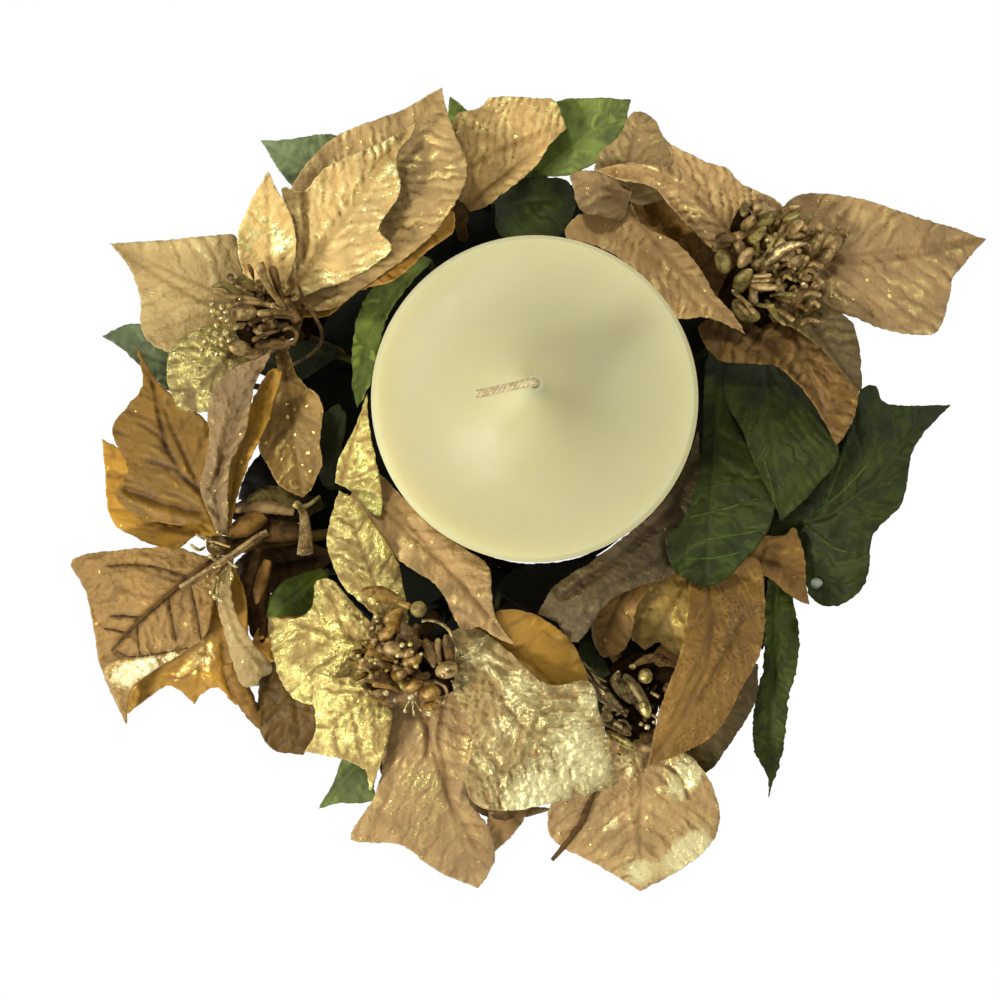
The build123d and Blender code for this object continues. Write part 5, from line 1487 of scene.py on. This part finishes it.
        ("tube", "silver bud", 3.0, (0.4, 1.0), [(590, 668), (602, 686), (616, 702), (627, 717)]),
        ("wire", "silver bud", 1.0, (0.5, 0.9), [(584, 662), (594, 674), (606, 682)]),
        ("wire", "silver bud", 1.0, (0.5, 0.9), [(586, 671), (594, 682), (606, 688)]),
        ("bud", "silver bud", 8.0, (0.4, 0.6), [(594, 680), (602, 692), (612, 704)]),
        ("tube", "tan bud", 2.6, (0.8, 1.0), [(616, 715), (622, 712), (629, 711)]),
        ("tube", "tan bud", 2.0, (0.8, 0.9), [(618, 720), (626, 722), (631, 730)]),
        ("bud", "tan bud", 6.0, (0.7, 0.8), [(602, 720), (607, 716), (610, 722)]),
        ("bud", "gold bud", 5.5, (0.8, 1.0), [(605, 731), (620, 740), (636, 749)]),
        ("bud", "tan bud", 5.5, (0.8, 0.9), [(634, 740), (642, 746), (652, 749)]),
        ("bud", "silver bud", 5.5, (0.6, 0.8), [(602, 722), (616, 725), (631, 735)]),
        ("bud", "brown bud", 6.0, (0.6, 0.8), [(664, 692), (672, 684), (676, 678)]),
        ("wire", "tan bud", 1.8, (0.9, 1.0), [(651, 692), (659, 697)]),
        ("wire", "tan bud", 1.4, (0.9, 1.0), [(652, 715), (659, 719)]),
        ("petal", "silver bud", 6.0, (0.4, 0.6), [(604, 712), (612, 706), (620, 712)]),
        ("petal", "tan bud", 5.0, (0.3, 0.2), [(636, 750), (640, 760), (642, 772)]),
        ("bud", "brown bud", 6.0, (0.4, 0.5), [(640, 734), (648, 738), (654, 730)]),
    ],
}

# Glass beads: pixel, half width in pixels and height as a share
glass = {
    "a": [(213, 311, 3.2, 0.9), (214, 316, 2.6, 0.95), (222, 307, 3.4, 0.95), (229, 306, 3.0, 0.95),
        (222, 318, 3.8, 0.95),
        (218, 313, 2.8, 0.9), (226, 312, 3.0, 0.9), (212, 304, 2.6, 0.85), (217, 325, 3.0, 0.85),
            (227, 320, 2.8, 0.85),
        (216, 334, 3.4, 0.9), (226, 333, 4.2, 0.95), (222, 339, 3.0, 0.9), (229, 340, 3.0, 0.85),
            (216, 342, 3.0, 0.85),
        (222, 345, 2.6, 0.8), (210, 330, 2.6, 0.8), (211, 348, 3.0, 0.8), (217, 354, 2.6, 0.75),
            (205, 342, 3.0, 0.75),
        (202, 350, 2.6, 0.7), (236, 328, 2.4, 0.95), (208, 337, 2.6, 0.8), (240, 299, 1.6, 0.9)],
    "c": [(767, 240, 2.2, 0.8), (803, 284, 2.4, 0.95)],
    "d": [(209, 585, 2.6, 0.9), (214, 580, 2.4, 0.95), (204, 589, 1.6, 0.8), (217, 578, 2.6, 0.9),
        (218, 587, 2.2, 0.9),
        (215, 597, 3.2, 0.95), (211, 592, 2.2, 0.8), (220, 600, 2.0, 0.8), (222, 583, 1.8, 0.8),
            (208, 576, 1.6, 0.8)],
    "e": [(402, 645, 2.8, 1.0), (411, 697, 3.6, 1.0), (386, 693, 3.2, 0.9),
        (429, 713, 3.4, 0.9), (416, 666, 2.8, 1.0), (382, 637, 1.8, 0.95), (398, 655, 3.0, 0.9),
            (400, 674, 4.0, 0.85),
        (363, 660, 2.4, 0.8), (367, 694, 2.4, 0.8), (372, 628, 2.2, 0.8), (376, 616, 3.0, 0.8),
            (362, 622, 2.4, 0.7),
        (378, 603, 2.8, 0.8), (366, 642, 1.8, 0.85), (375, 663, 1.8, 0.8), (421, 654, 2.0, 0.9),
            (447, 669, 2.2, 1.0),
        (443, 675, 2.2, 0.95), (395, 700, 2.4, 0.8), (405, 711, 2.2, 0.8), (412, 652, 2.2, 0.9)],
    "f": [(641, 724, 2.4, 0.95), (647, 727, 3.2, 0.9), (654, 722, 2.0, 0.9), (619, 755, 2.2, 0.5),
        (621, 748, 1.8, 0.5)],
}
print(sum(map(len, placed.values())), "placed pieces and", sum(map(len, glass.values())), "beads")

# %% [markdown]
# ## Finishes of the stamens
#
# Buds are rough and dark with small bright specks. The silver, gold and glass ones are metallic and smooth,
# so they alone pick up the lights. The nearly black finish is painted shade: it fills the hollows under the
# stamens and the dark gaps between pieces, and colours a few dark petals. All the pieces of one finish in a
# flower are joined, which keeps the number of objects low.

# %% Finishes of the stamens
def bud_material(name, dark, light, spark, metal, rough, rare=0.62, gloss=0.35):
    """Two tones and bright specks; a higher `rare` leaves fewer specks."""
    material, t, shader = new_material(name)
    colour = t.mix(t.ramp(t.noise(3.0, 3, 0.6), 0.36, 0.6), linear(*dark), linear(*light))
    sparkle = t.ramp(t.noise(0.8, 2, 0.7), rare, rare + 0.12)
    colour = t.mix(sparkle, colour, linear(*spark))
    t.set(shader.inputs["Base Color"], colour)
    shader.inputs["Metallic"].default_value = metal
    shader.inputs["Specular IOR Level"].default_value = gloss
    t.set(shader.inputs["Roughness"], t.ramp(sparkle, 0, 1, rough, 0.2))
    t.set(shader.inputs["Normal"], t.bump(t.noise(0.7, 3, 0.7), 0.6, 0.3))
    return material


bud_finishes = {
    "tan bud": bud_material("tan buds", (112, 86, 46), (180, 152, 98), (232, 216, 160), 0.3, 0.4),
    "brown bud": bud_material("brown buds", (66, 46, 20), (124, 94, 48), (166, 140, 84), 0.2, 0.45),
    "olive bud": bud_material("olive buds", (88, 76, 32), (152, 136, 74), (192, 178, 112), 0.2, 0.42),
    "silver bud": bud_material("silver buds", (80, 66, 38), (178, 156, 104), (244, 232, 182), 0.6, 0.24),
    "gold bud": bud_material("gold buds", (128, 106, 46), (220, 204, 124), (255, 250, 200), 0.6, 0.22),
    "amber bud": bud_material("amber buds", (92, 62, 18), (160, 124, 56), (216, 184, 108), 0.2, 0.3),
    "amber strip": bud_material("amber strips", (124, 88, 30), (160, 118, 50),
        (186, 146, 76), 0.1, 0.5, 0.75),
    "brown strip": bud_material("brown strips", (62, 43, 17), (96, 70, 32),
        (120, 92, 48), 0.0, 0.6, 0.75, 0.15),
    "tan strip": bud_material("tan strips", (132, 104, 56), (166, 136, 84),
        (190, 164, 108), 0.1, 0.5, 0.75),
    "light leaf": bud_material("leaf ribs", (54, 68, 28), (72, 88, 38), (86, 102, 50), 0.0, 0.7, 0.8, 0.12),
    "grey dot": bud_material("grey dots", (150, 156, 138), (164, 170, 152),
        (168, 174, 156), 0.0, 0.6, 0.8, 0.2),
    # Nearly black and hardly glossy: painted shade
    "dark bud": bud_material("dark buds", (20, 12, 3), (36, 23, 7), (60, 42, 18), 0.0, 0.9, 0.7, 0.04),
    "glass bead": bud_material("glass beads", (150, 126, 62), (216, 196, 128),
        (252, 244, 204), 0.6, 0.2, 0.52),
}
print("finishes of small pieces:", len(bud_finishes))

# %% Place the pieces
def add_stamens(cluster, key, material=None):
    if material:
        cluster.data.materials.append(material)
    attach(cluster, "ring")
    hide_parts(f"stamens_{key}")


def add_placed(key, title, meshes, material):
    """Meshes of one finish joined in one piece."""
    verts, faces = [], []
    for mesh in meshes:
        faces += [tuple(i + len(verts) for i in p.vertices) for p in mesh.polygons]
        verts += [v.co.copy() for v in mesh.vertices]
    piece = add_object(f"stamens_{key}_{title}".replace(" ", "_"), smooth_mesh(title, verts, faces))
    add_stamens(piece, key, material)


for key, pieces in placed.items():
    groups = {}
    for kind, title, wide_px, rise, chain in pieces:
        heights = [level_at(key, share) for share in rise]
        groups.setdefault(title, []).append(placed_mesh(kind, wide_px, heights, chain))
    for x, y, wide_px, share in glass[key]:
        groups.setdefault("glass bead", []).append(bead_ball(x, y, wide_px, level_at(key, share)))
    for title, meshes in groups.items():
        add_placed(key, title, meshes, bud_finishes[title])
    print("flower", key + ":", len(groups), "finishes")

# %% [markdown]
# ## Stamens that grow
#
# Between the placed pieces, Geometry Nodes sets small buds and curls on seed points. The seeds lie
# in a sunflower spiral, where each is turned by the golden angle from the last one, and carry
# their direction, spin and size as attributes. The result is kept as a plain mesh.

# %% Units and seeds
seed_inset = 1.2
# A stamen's length is cut to the cluster's height as if it rose at least this share of it
least_upward = 0.35


def stamen_mesh(bud_from, wide, wire):
    """One stamen of unit length along Z: a bent wire and a lumpy bud."""
    def radius(t):
        if t < bud_from:
            return wire
        return wire + (wide - wire) * math.sin(math.pi * (t - bud_from) / (1.06 - bud_from)) ** 0.7

    at = np.linspace(0, 1, 11)
    path = [(0.10 * math.sin(2.2 * t), 0.03 * math.sin(5 * t), t) for t in at]
    return smooth_mesh("stamen", *tube(path, [radius(t) for t in at], 6))


def curl_mesh():
    """A curled bit of unit reach: a round tube of changing width that rises and hooks over."""
    at = np.linspace(0, 1, 10)
    path = [(0.42 * t ** 2 * math.sin(2.6 * t), 0.12 * math.sin(6 * t), 0.8 * math.sin(1.9 * t)) for t in at]
    radii = [0.05 + 0.035 * math.sin(3.1 * t) + 0.01 * math.sin(19 * t) for t in at]
    return smooth_mesh("curl", *tube(path, radii, 6))


def seed_mesh(key, count, reach, lean_share, salt):
    """Seeds on the receptacle of one flower, each with its direction, length and spin."""
    low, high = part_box(f"stamens_{key}")
    tall = high[2] - low[2]
    middle = Vector(((low[0] + high[0]) / 2, (low[1] + high[1]) / 2, low[2]))
    rng = np.random.default_rng(ord(key) + salt)
    verts, ways, sizes = [], [], []
    for n in range(count):
        share = math.sqrt((n + 0.5) / count)
        turn = n * math.pi * (3 - math.sqrt(5)) + rng.normal(0, 0.25) + salt
        outward = Vector((math.cos(turn), math.sin(turn), 0)) * share
        root = outward * (calyx_radius - seed_inset) * MM
        lean = outward * hubs[key]["spread"] * MM * rng.uniform(*lean_share)
        rise = tall * (1.0 - 0.35 * share) * rng.uniform(*reach)
        away = lean - root + Vector((0, 0, rise))
        verts.append(middle + root + Vector((0, 0, MM)))
        ways.append(away.normalized())
        sizes.append(min(away.length, (tall - MM) / max(away.normalized().z, least_upward)))
    mesh = bpy.data.meshes.new(f"seeds_{key}")
    mesh.from_pydata(verts, [], [])
    layer = mesh.attributes.new("way", "FLOAT_VECTOR", "POINT")
    layer.data.foreach_set("vector", np.array(ways, np.float32).ravel())
    for title, values in (("size", sizes), ("spin", rng.uniform(0, 6.28, count))):
        layer = mesh.attributes.new(title, "FLOAT", "POINT")
        layer.data.foreach_set("value", np.array(values, np.float32))
    return mesh


small_bud = bpy.data.objects.new("bud", stamen_mesh(0.55, 0.075, 0.02))
curl = bpy.data.objects.new("curl", curl_mesh())
print("points of a bud:", len(small_bud.data.vertices), "and of a curl:", len(curl.data.vertices))

# %% Nodes that grow them
def stamen_nodes():
    """Seed points in, realized stamens out; way, spin and size are attributes of the seeds."""
    tree = bpy.data.node_groups.new("stamens", "GeometryNodeTree")
    for title, kind in (("Seeds", "Geometry"), ("Stamen", "Object"), ("Finish", "Material")):
        tree.interface.new_socket(title, in_out="INPUT", socket_type="NodeSocket" + kind)
    tree.interface.new_socket("Stamens", in_out="OUTPUT", socket_type="NodeSocketGeometry")
    nodes, links = tree.nodes, tree.links

    def named(title, kind):
        attribute = nodes.new("GeometryNodeInputNamedAttribute")
        attribute.data_type = kind
        attribute.inputs["Name"].default_value = title
        return attribute.outputs["Attribute"]

    given, result = nodes.new("NodeGroupInput"), nodes.new("NodeGroupOutput")
    points = nodes.new("GeometryNodeMeshToPoints")
    stamen = nodes.new("GeometryNodeObjectInfo")
    place_all = nodes.new("GeometryNodeInstanceOnPoints")
    align = nodes.new("FunctionNodeAlignRotationToVector")
    align.axis = "Z"
    twist = nodes.new("FunctionNodeRotateRotation")
    twist.rotation_space = "LOCAL"
    about = nodes.new("FunctionNodeAxisAngleToRotation")
    realize = nodes.new("GeometryNodeRealizeInstances")
    coat = nodes.new("GeometryNodeSetMaterial")
    links.new(given.outputs["Seeds"], points.inputs["Mesh"])
    links.new(points.outputs["Points"], place_all.inputs["Points"])
    links.new(given.outputs["Stamen"], stamen.inputs["Object"])
    links.new(stamen.outputs["Geometry"], place_all.inputs["Instance"])
    links.new(named("way", "FLOAT_VECTOR"), align.inputs["Vector"])
    links.new(named("spin", "FLOAT"), about.inputs["Angle"])
    links.new(align.outputs["Rotation"], twist.inputs["Rotation"])
    links.new(about.outputs["Rotation"], twist.inputs["Rotate By"])
    links.new(twist.outputs["Rotation"], place_all.inputs["Rotation"])
    links.new(named("size", "FLOAT"), place_all.inputs["Scale"])
    links.new(place_all.outputs["Instances"], realize.inputs["Geometry"])
    links.new(realize.outputs["Geometry"], coat.inputs["Geometry"])
    links.new(given.outputs["Finish"], coat.inputs["Material"])
    links.new(coat.outputs["Geometry"], result.inputs["Stamens"])
    return tree


stamen_tree = stamen_nodes()
print("nodes that grow stamens:", len(stamen_tree.nodes))

# %% Grow them
# For each flower: what grows, in which finish, how many, how far up and how far out
bunches = {
    "a": [(small_bud, "brown bud", 16, (0.4, 0.6), (0.4, 0.8)), (curl, "tan bud", 14, (0.6, 0.8),
        (0.4, 0.8)),
        (curl, "brown bud", 14, (0.5, 0.7), (0.4, 0.8))],
    "c": [(small_bud, "olive bud", 18, (0.4, 0.7), (0.4, 1.0)), (curl, "tan bud", 64, (0.5, 0.8),
        (0.5, 1.25))],
    "d": [(curl, "glass bead", 5, (0.6, 1.0), (0.7, 1.2))],
    "e": [(small_bud, "amber bud", 16, (0.4, 0.6), (0.4, 0.9)), (curl, "tan bud", 34, (0.7, 1.0),
        (0.3, 1.0)),
        (small_bud, "gold bud", 12, (0.8, 1.0), (0.3, 1.0)), (curl, "brown bud", 24, (0.5, 0.75),
            (0.4, 0.95))],
    "f": [(small_bud, "brown bud", 14, (0.4, 0.8), (0.5, 1.1)), (curl, "dark bud", 12, (0.4, 0.7),
        (0.5, 1.1))],
}
input_of = {item.name: item.identifier for item in stamen_tree.interface.items_tree if item.in_out == "INPUT"}
for key, bunch in bunches.items():
    for salt, (unit, title, count, reach, lean_share) in enumerate(bunch):
        cluster = add_object(f"stamens_{key}_{unit.name}s", seed_mesh(key, count, reach, lean_share, salt))
        grow = cluster.modifiers.new("grow", "NODES")
        grow.node_group = stamen_tree
        grow[input_of["Stamen"]] = unit
        grow[input_of["Finish"]] = bud_finishes[title]
        seen = cluster.evaluated_get(bpy.context.evaluated_depsgraph_get())
        grown = bpy.data.meshes.new_from_object(seen)
        cluster.modifiers.clear()
        cluster.data = grown
        add_stamens(cluster, key)
print(sum(map(len, bunches.values())), "grown clusters")

# %% [markdown]
# ## Tucked strips
#
# Between the flowers the picture shows narrow strips of cloth that are twisted or folded under a bract, and
# wires wrapped in paper. The nearly black strips are painted shade in the dark gaps, one of them in front of
# the candle's foot. Each belongs to the piece named first and is placed like the stamens, with its heights in
# millimetres.

# %% Tucked strips
tucks = [
    ("small_leaves", "strip", "brown strip", 12.0, (46, 44), [(302, 532), (268, 531), (232, 532)]),
    ("small_leaves", "strip", "tan strip", 7.0, (50, 48), [(294, 512), (262, 507), (226, 511)]),
    ("small_leaves", "strip", "olive bud", 11.0, (40, 50), [(294, 502), (270, 496), (246, 502)]),
    ("small_leaves", "strip", "amber strip", 11.0, (49, 54), [(264, 515), (246, 526), (226, 536)]),
    ("small_leaves", "strip", "brown strip", 9.0, (48, 50), [(262, 536), (244, 544), (224, 552)]),
    ("small_leaves", "strip", "brown strip", 15.0, (36, 34), [(254, 560), (257, 600), (260, 645)]),
    ("small_leaves", "strip", "dark bud", 4.4, (12, 12), [(449, 537), (489, 560), (535, 568), (581, 560),
        (621, 537)]),
    ("bract_a6", "strip", "dark bud", 11.0, (30, 30), [(296, 296), (304, 320), (300, 348)]),
    ("bract_e5", "strip", "tan strip", 7.0, (30, 26), [(466, 784), (476, 804), (505, 813), (550, 809)]),
    ("small_leaves", "strip", "tan strip", 6.0, (26, 24), [(394, 716), (386, 745), (382, 775)]),
    ("small_leaves", "strip", "amber strip", 16.0, (34, 32), [(650, 192), (672, 212), (700, 240)]),
    ("small_leaves", "strip", "dark leaf", 9.0, (22, 24), [(768, 526), (780, 506), (788, 484)]),
    ("leaf_3", "strip", "dark leaf", 8.0, (30, 33), [(834, 466), (845, 444), (852, 424)]),
    ("bract_j5", "strip", "tan strip", 6.0, (24, 24), [(760, 541), (776, 538), (794, 534)]),
    ("small_leaves", "strip", "dark bud", 6.0, (20, 16), [(764, 568), (765, 604), (762, 650)]),
    ("small_leaves", "strip", "dark bud", 7.0, (20, 18), [(664, 556), (690, 566), (716, 566)]),
    ("leaf_3", "strip", "grey dot", 6.0, (32.8, 32.8), [(811, 583), (823, 583)]),
    ("bract_d4", "strip", "amber strip", 10.0, (40, 26), [(228, 664), (246, 700), (262, 730)]),
    ("bract_d4", "strip", "brown strip", 9.0, (44, 40), [(258, 548), (250, 572), (242, 606)]),
    ("bract_d4", "strip", "amber strip", 7.0, (45, 42), [(268, 560), (262, 580), (256, 604)]),
    ("bract_k1", "sleeve", "tan bud", 9.0, (54, 60), [(296, 502), (303, 512), (305, 530), (305, 553)]),
    ("bract_k1", "tube", "olive bud", 3.0, (56, 58), [(320, 496), (306, 506), (292, 505)]),
    ("bract_k1", "tube", "gold bud", 2.6, (58, 60), [(302, 512), (298, 508), (294, 503)]),
    ("bract_a6", "wire", "brown bud", 1.8, (60, 44), [(298, 284), (303, 300), (302, 316), (294, 345)]),
    ("bract_a6", "wire", "brown bud", 1.8, (60, 44), [(300, 298), (316, 318), (322, 340), (306, 358),
        (288, 366)]),
]
for node, kind, title, wide_px, heights, chain in tucks:
    piece = add_object(f"{node}_tuck", placed_mesh(kind, wide_px, heights, chain))
    piece.data.materials.append(bud_finishes[title] if title in bud_finishes else finish(title))
    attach(piece, "ring")
    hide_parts(node)
print(len(tucks), "tucked strips")

# %% [markdown]
# ## Raised ribs
#
# One bract lies with its underside up, so its ribs stand proud like cords, and the big leaves have
# pale ribs. Each is a thin tube laid on its sheet: a ray goes down from the camera at every step
# along the rib, and where it hits the sheet is where the tube runs. Drawing the rib on the sheet
# would give its colour, but not its shadow.

# %% Raised ribs
rib_step_px = 3.0
usual_level = 40.0
rib_flat = 0.7


def rib_mesh(sheet, wide_px, chain):
    """A rib laid on a sheet, thinner at both ends; past the sheet's edge it keeps its height."""
    mesh = bpy.data.objects[f"{sheet}_cloth"].data
    cloth = BVHTree.FromPolygons([v.co for v in mesh.vertices], [p.vertices for p in mesh.polygons])
    path, level = [], usual_level
    for x, y in resample(smooth_chain(chain, curve_steps), rib_step_px):
        eye = Vector(place(x, y, crown_height)) * MM
        hit = cloth.ray_cast(eye, Vector(place(x, y, 0)) * MM - eye)[0]
        level = hit.z / MM if hit else level
        path.append(Vector(place(x, y, level)) * MM)
    shares = np.linspace(0, 1, len(path))
    radii = [wide_px * scale_at(level) * (0.55 + 0.45 * math.sin(math.pi * t)) * MM for t in shares]
    return smooth_mesh("rib", *tube(path, radii, 8, rib_flat))


raised_ribs = [
    ("bract_d2", "brown strip", 2.0, [(216, 556), (187, 579), (143, 617), (112, 650)]),
    ("bract_d2", "brown strip", 1.5, [(189, 577), (160, 568), (134, 565), (106, 566)]),
    ("bract_d2", "brown strip", 1.4, [(143, 618), (124, 616), (110, 616)]),
    ("bract_d2", "brown strip", 1.3, [(127, 634), (112, 630), (104, 629)]),
    ("bract_d2", "brown strip", 1.3, [(189, 580), (195, 606), (201, 640)]),
    ("bract_d2", "brown strip", 1.3, [(168, 598), (172, 620), (176, 642)]),
    ("bract_d2", "brown strip", 1.2, [(137, 624), (138, 642), (140, 654)]),
    ("bract_d2", "brown strip", 1.1, [(116, 650), (130, 657), (156, 654), (188, 648)]),
    ("bract_f1", "brown strip", 3.6, [(596, 786), (582, 820), (564, 846), (552, 860)]),
    ("leaf_1", "light leaf", 1.7, [(690, 517), (727, 508), (760, 498)]),
    ("leaf_1", "light leaf", 1.7, [(697, 541), (727, 536), (763, 530)]),
    ("leaf_1", "light leaf", 1.5, [(684, 559), (720, 557), (747, 550)]),
    ("leaf_1", "light leaf", 1.4, [(699, 489), (733, 481)]),
    ("leaf_2", "light leaf", 1.4, [(764, 458), (771, 484), (777, 508)]),
    ("leaf_3", "light leaf", 1.7, [(802, 522), (847, 487), (887, 440)]),
    ("leaf_3", "light leaf", 1.5, [(802, 522), (833, 547), (857, 553)]),
    ("leaf_3", "light leaf", 1.4, [(826, 503), (838, 470), (846, 446)]),
]
for node, title, wide_px, chain in raised_ribs:
    piece = add_object(f"{node}_rib", rib_mesh(node, wide_px, chain))
    piece.data.materials.append(bud_finishes[title])
    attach(piece, "ring")
    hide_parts(node)
print(len(raised_ribs), "raised ribs")

# %% [markdown]
# ## Candle
#
# The wax keeps its shape from the frame. It is cloudy, a little yellow, and light goes into it,
# so its rim and its peak look softer than a painted surface would. The wick is braided anew.

# %% Wax
def wax_material():
    material, t, shader = new_material("candle wax")
    cloud = t.ramp(t.noise(26, 4, 0.55), 0.3, 0.7)
    t.set(shader.inputs["Base Color"], t.mix(cloud, linear(194, 190, 143), linear(198, 193, 149)))
    shader.inputs["Subsurface Weight"].default_value = 0.85
    shader.inputs["Subsurface Radius"].default_value = (1.0, 0.7, 0.35)
    shader.inputs["Subsurface Scale"].default_value = 22 * MM
    t.set(shader.inputs["Roughness"], t.ramp(t.noise(9, 3, 0.6), 0.3, 0.7, 0.42, 0.55))
    t.set(shader.inputs["Normal"], t.bump(t.noise(3.0, 4, 0.6), 0.12, 0.25))
    return material


def dress(node, material):
    """Gives a plain piece from the frame its material."""
    piece = bpy.data.objects[node]
    for slot in piece.material_slots:
        slot.material = material
    if not piece.material_slots:
        piece.data.materials.append(material)


dress("candle_wax", wax_material())

# %% Wick
# Metres: the strands' radius, their sway across and up, and how far the braid's middle line stays
# from the box of the plain wick
strand_radius = 0.00048
sway_across, sway_up = 0.00050, 0.00026
inset, top_inset, foot_drop = 0.0006, 0.0008, 0.0036
# The first share of the braid goes straight up, and each strand winds round the others
straight = 0.18
winding = 30
third_turn = 2.0944


def wick_piece():
    """Three cotton strands braided round the wick's bent path."""
    low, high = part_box("wick")
    start, bend = Vector((0, 0, high[2] - foot_drop)), Vector((0, 0, high[2] - top_inset))
    tip = Vector((low[0] + inset, low[1] + inset, high[2] - top_inset))
    verts, faces = [], []
    for strand in range(3):
        path = []
        for t in np.linspace(0, 1, 70):
            after = (t - straight) / (1 - straight)
            base = start.lerp(bend, t / straight) if t < straight else bend.lerp(tip, after)
            angle = winding * t + strand * third_turn
            side = Vector((0, 1, 0)) if t > straight else Vector((1, 0, 0))
            up = Vector((0, 0, 1)) if t > straight else Vector((0, 1, 0))
            path.append(base + side * sway_across * math.cos(angle) + up * sway_up * math.sin(angle))
        some, rings = tube(path, [strand_radius] * len(path))
        faces += [tuple(i + len(verts) for i in face) for face in rings]
        verts += some
    piece = add_object("wick_braid", smooth_mesh("wick_braid", verts, faces))
    material, t, shader = new_material("waxed cotton")
    fibres = t.ramp(t.noise(1.2), 0.35, 0.65)
    t.set(shader.inputs["Base Color"], t.mix(fibres, linear(176, 158, 112), linear(214, 200, 156)))
    shader.inputs["Roughness"].default_value = 0.7
    t.set(shader.inputs["Normal"], t.bump(t.noise(0.3), 0.5, 0.15))
    piece.data.materials.append(material)
    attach(piece, "candle")
    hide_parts("wick")
    return piece


print("points of the braid:", len(wick_piece().data.vertices))

# %% [markdown]
# ## Ring and wires
#
# The moulded ring and the wrapped wires keep their shapes from the frame too. They hardly show from above, so
# one material with two tones and a fine grain is enough for each. The ring's dark green is darkened nearly to
# black, as painted shade under the wreath.

# %% Ring and wires
def plain_material(name, colour, second, rough, size_mm):
    material, t, shader = new_material(name)
    tone = t.ramp(t.noise(size_mm, 4), 0.35, 0.65)
    t.set(shader.inputs["Base Color"], t.mix(tone, linear(*colour), linear(*second)))
    shader.inputs["Roughness"].default_value = rough
    shader.inputs["Specular IOR Level"].default_value = 0.12
    t.set(shader.inputs["Normal"], t.bump(t.noise(size_mm / 6, 3), 0.3, 0.2))
    return material


# Nearly black: the ring's own dark green, darkened as painted shade
dress("base_ring", plain_material("dark green plastic", (12, 15, 7), (18, 23, 11), 0.7, 12))
dress("leaf_stems", plain_material("green paper wrap", (40, 46, 22), (62, 62, 32), 0.6, 4))
wrap = plain_material("paper wrapped wire", (66, 48, 20), (98, 74, 36), 0.7, 4)
wires = [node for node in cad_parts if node.startswith("stem_") or node == "wire_stems"]
for node in wires:
    dress(node, wrap)
print("wrapped:", ", ".join(wires))

# %% [markdown]
# ## Close
#
# The boxes of the frame and of the finished model are measured, and the model's is printed.

# %% Close
cad, seen = ([list(map(float, corner)) for corner in box] for box in (cad_bounds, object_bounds()))
print("box of the model, m:", [[round(v, 4) for v in corner] for corner in seen])
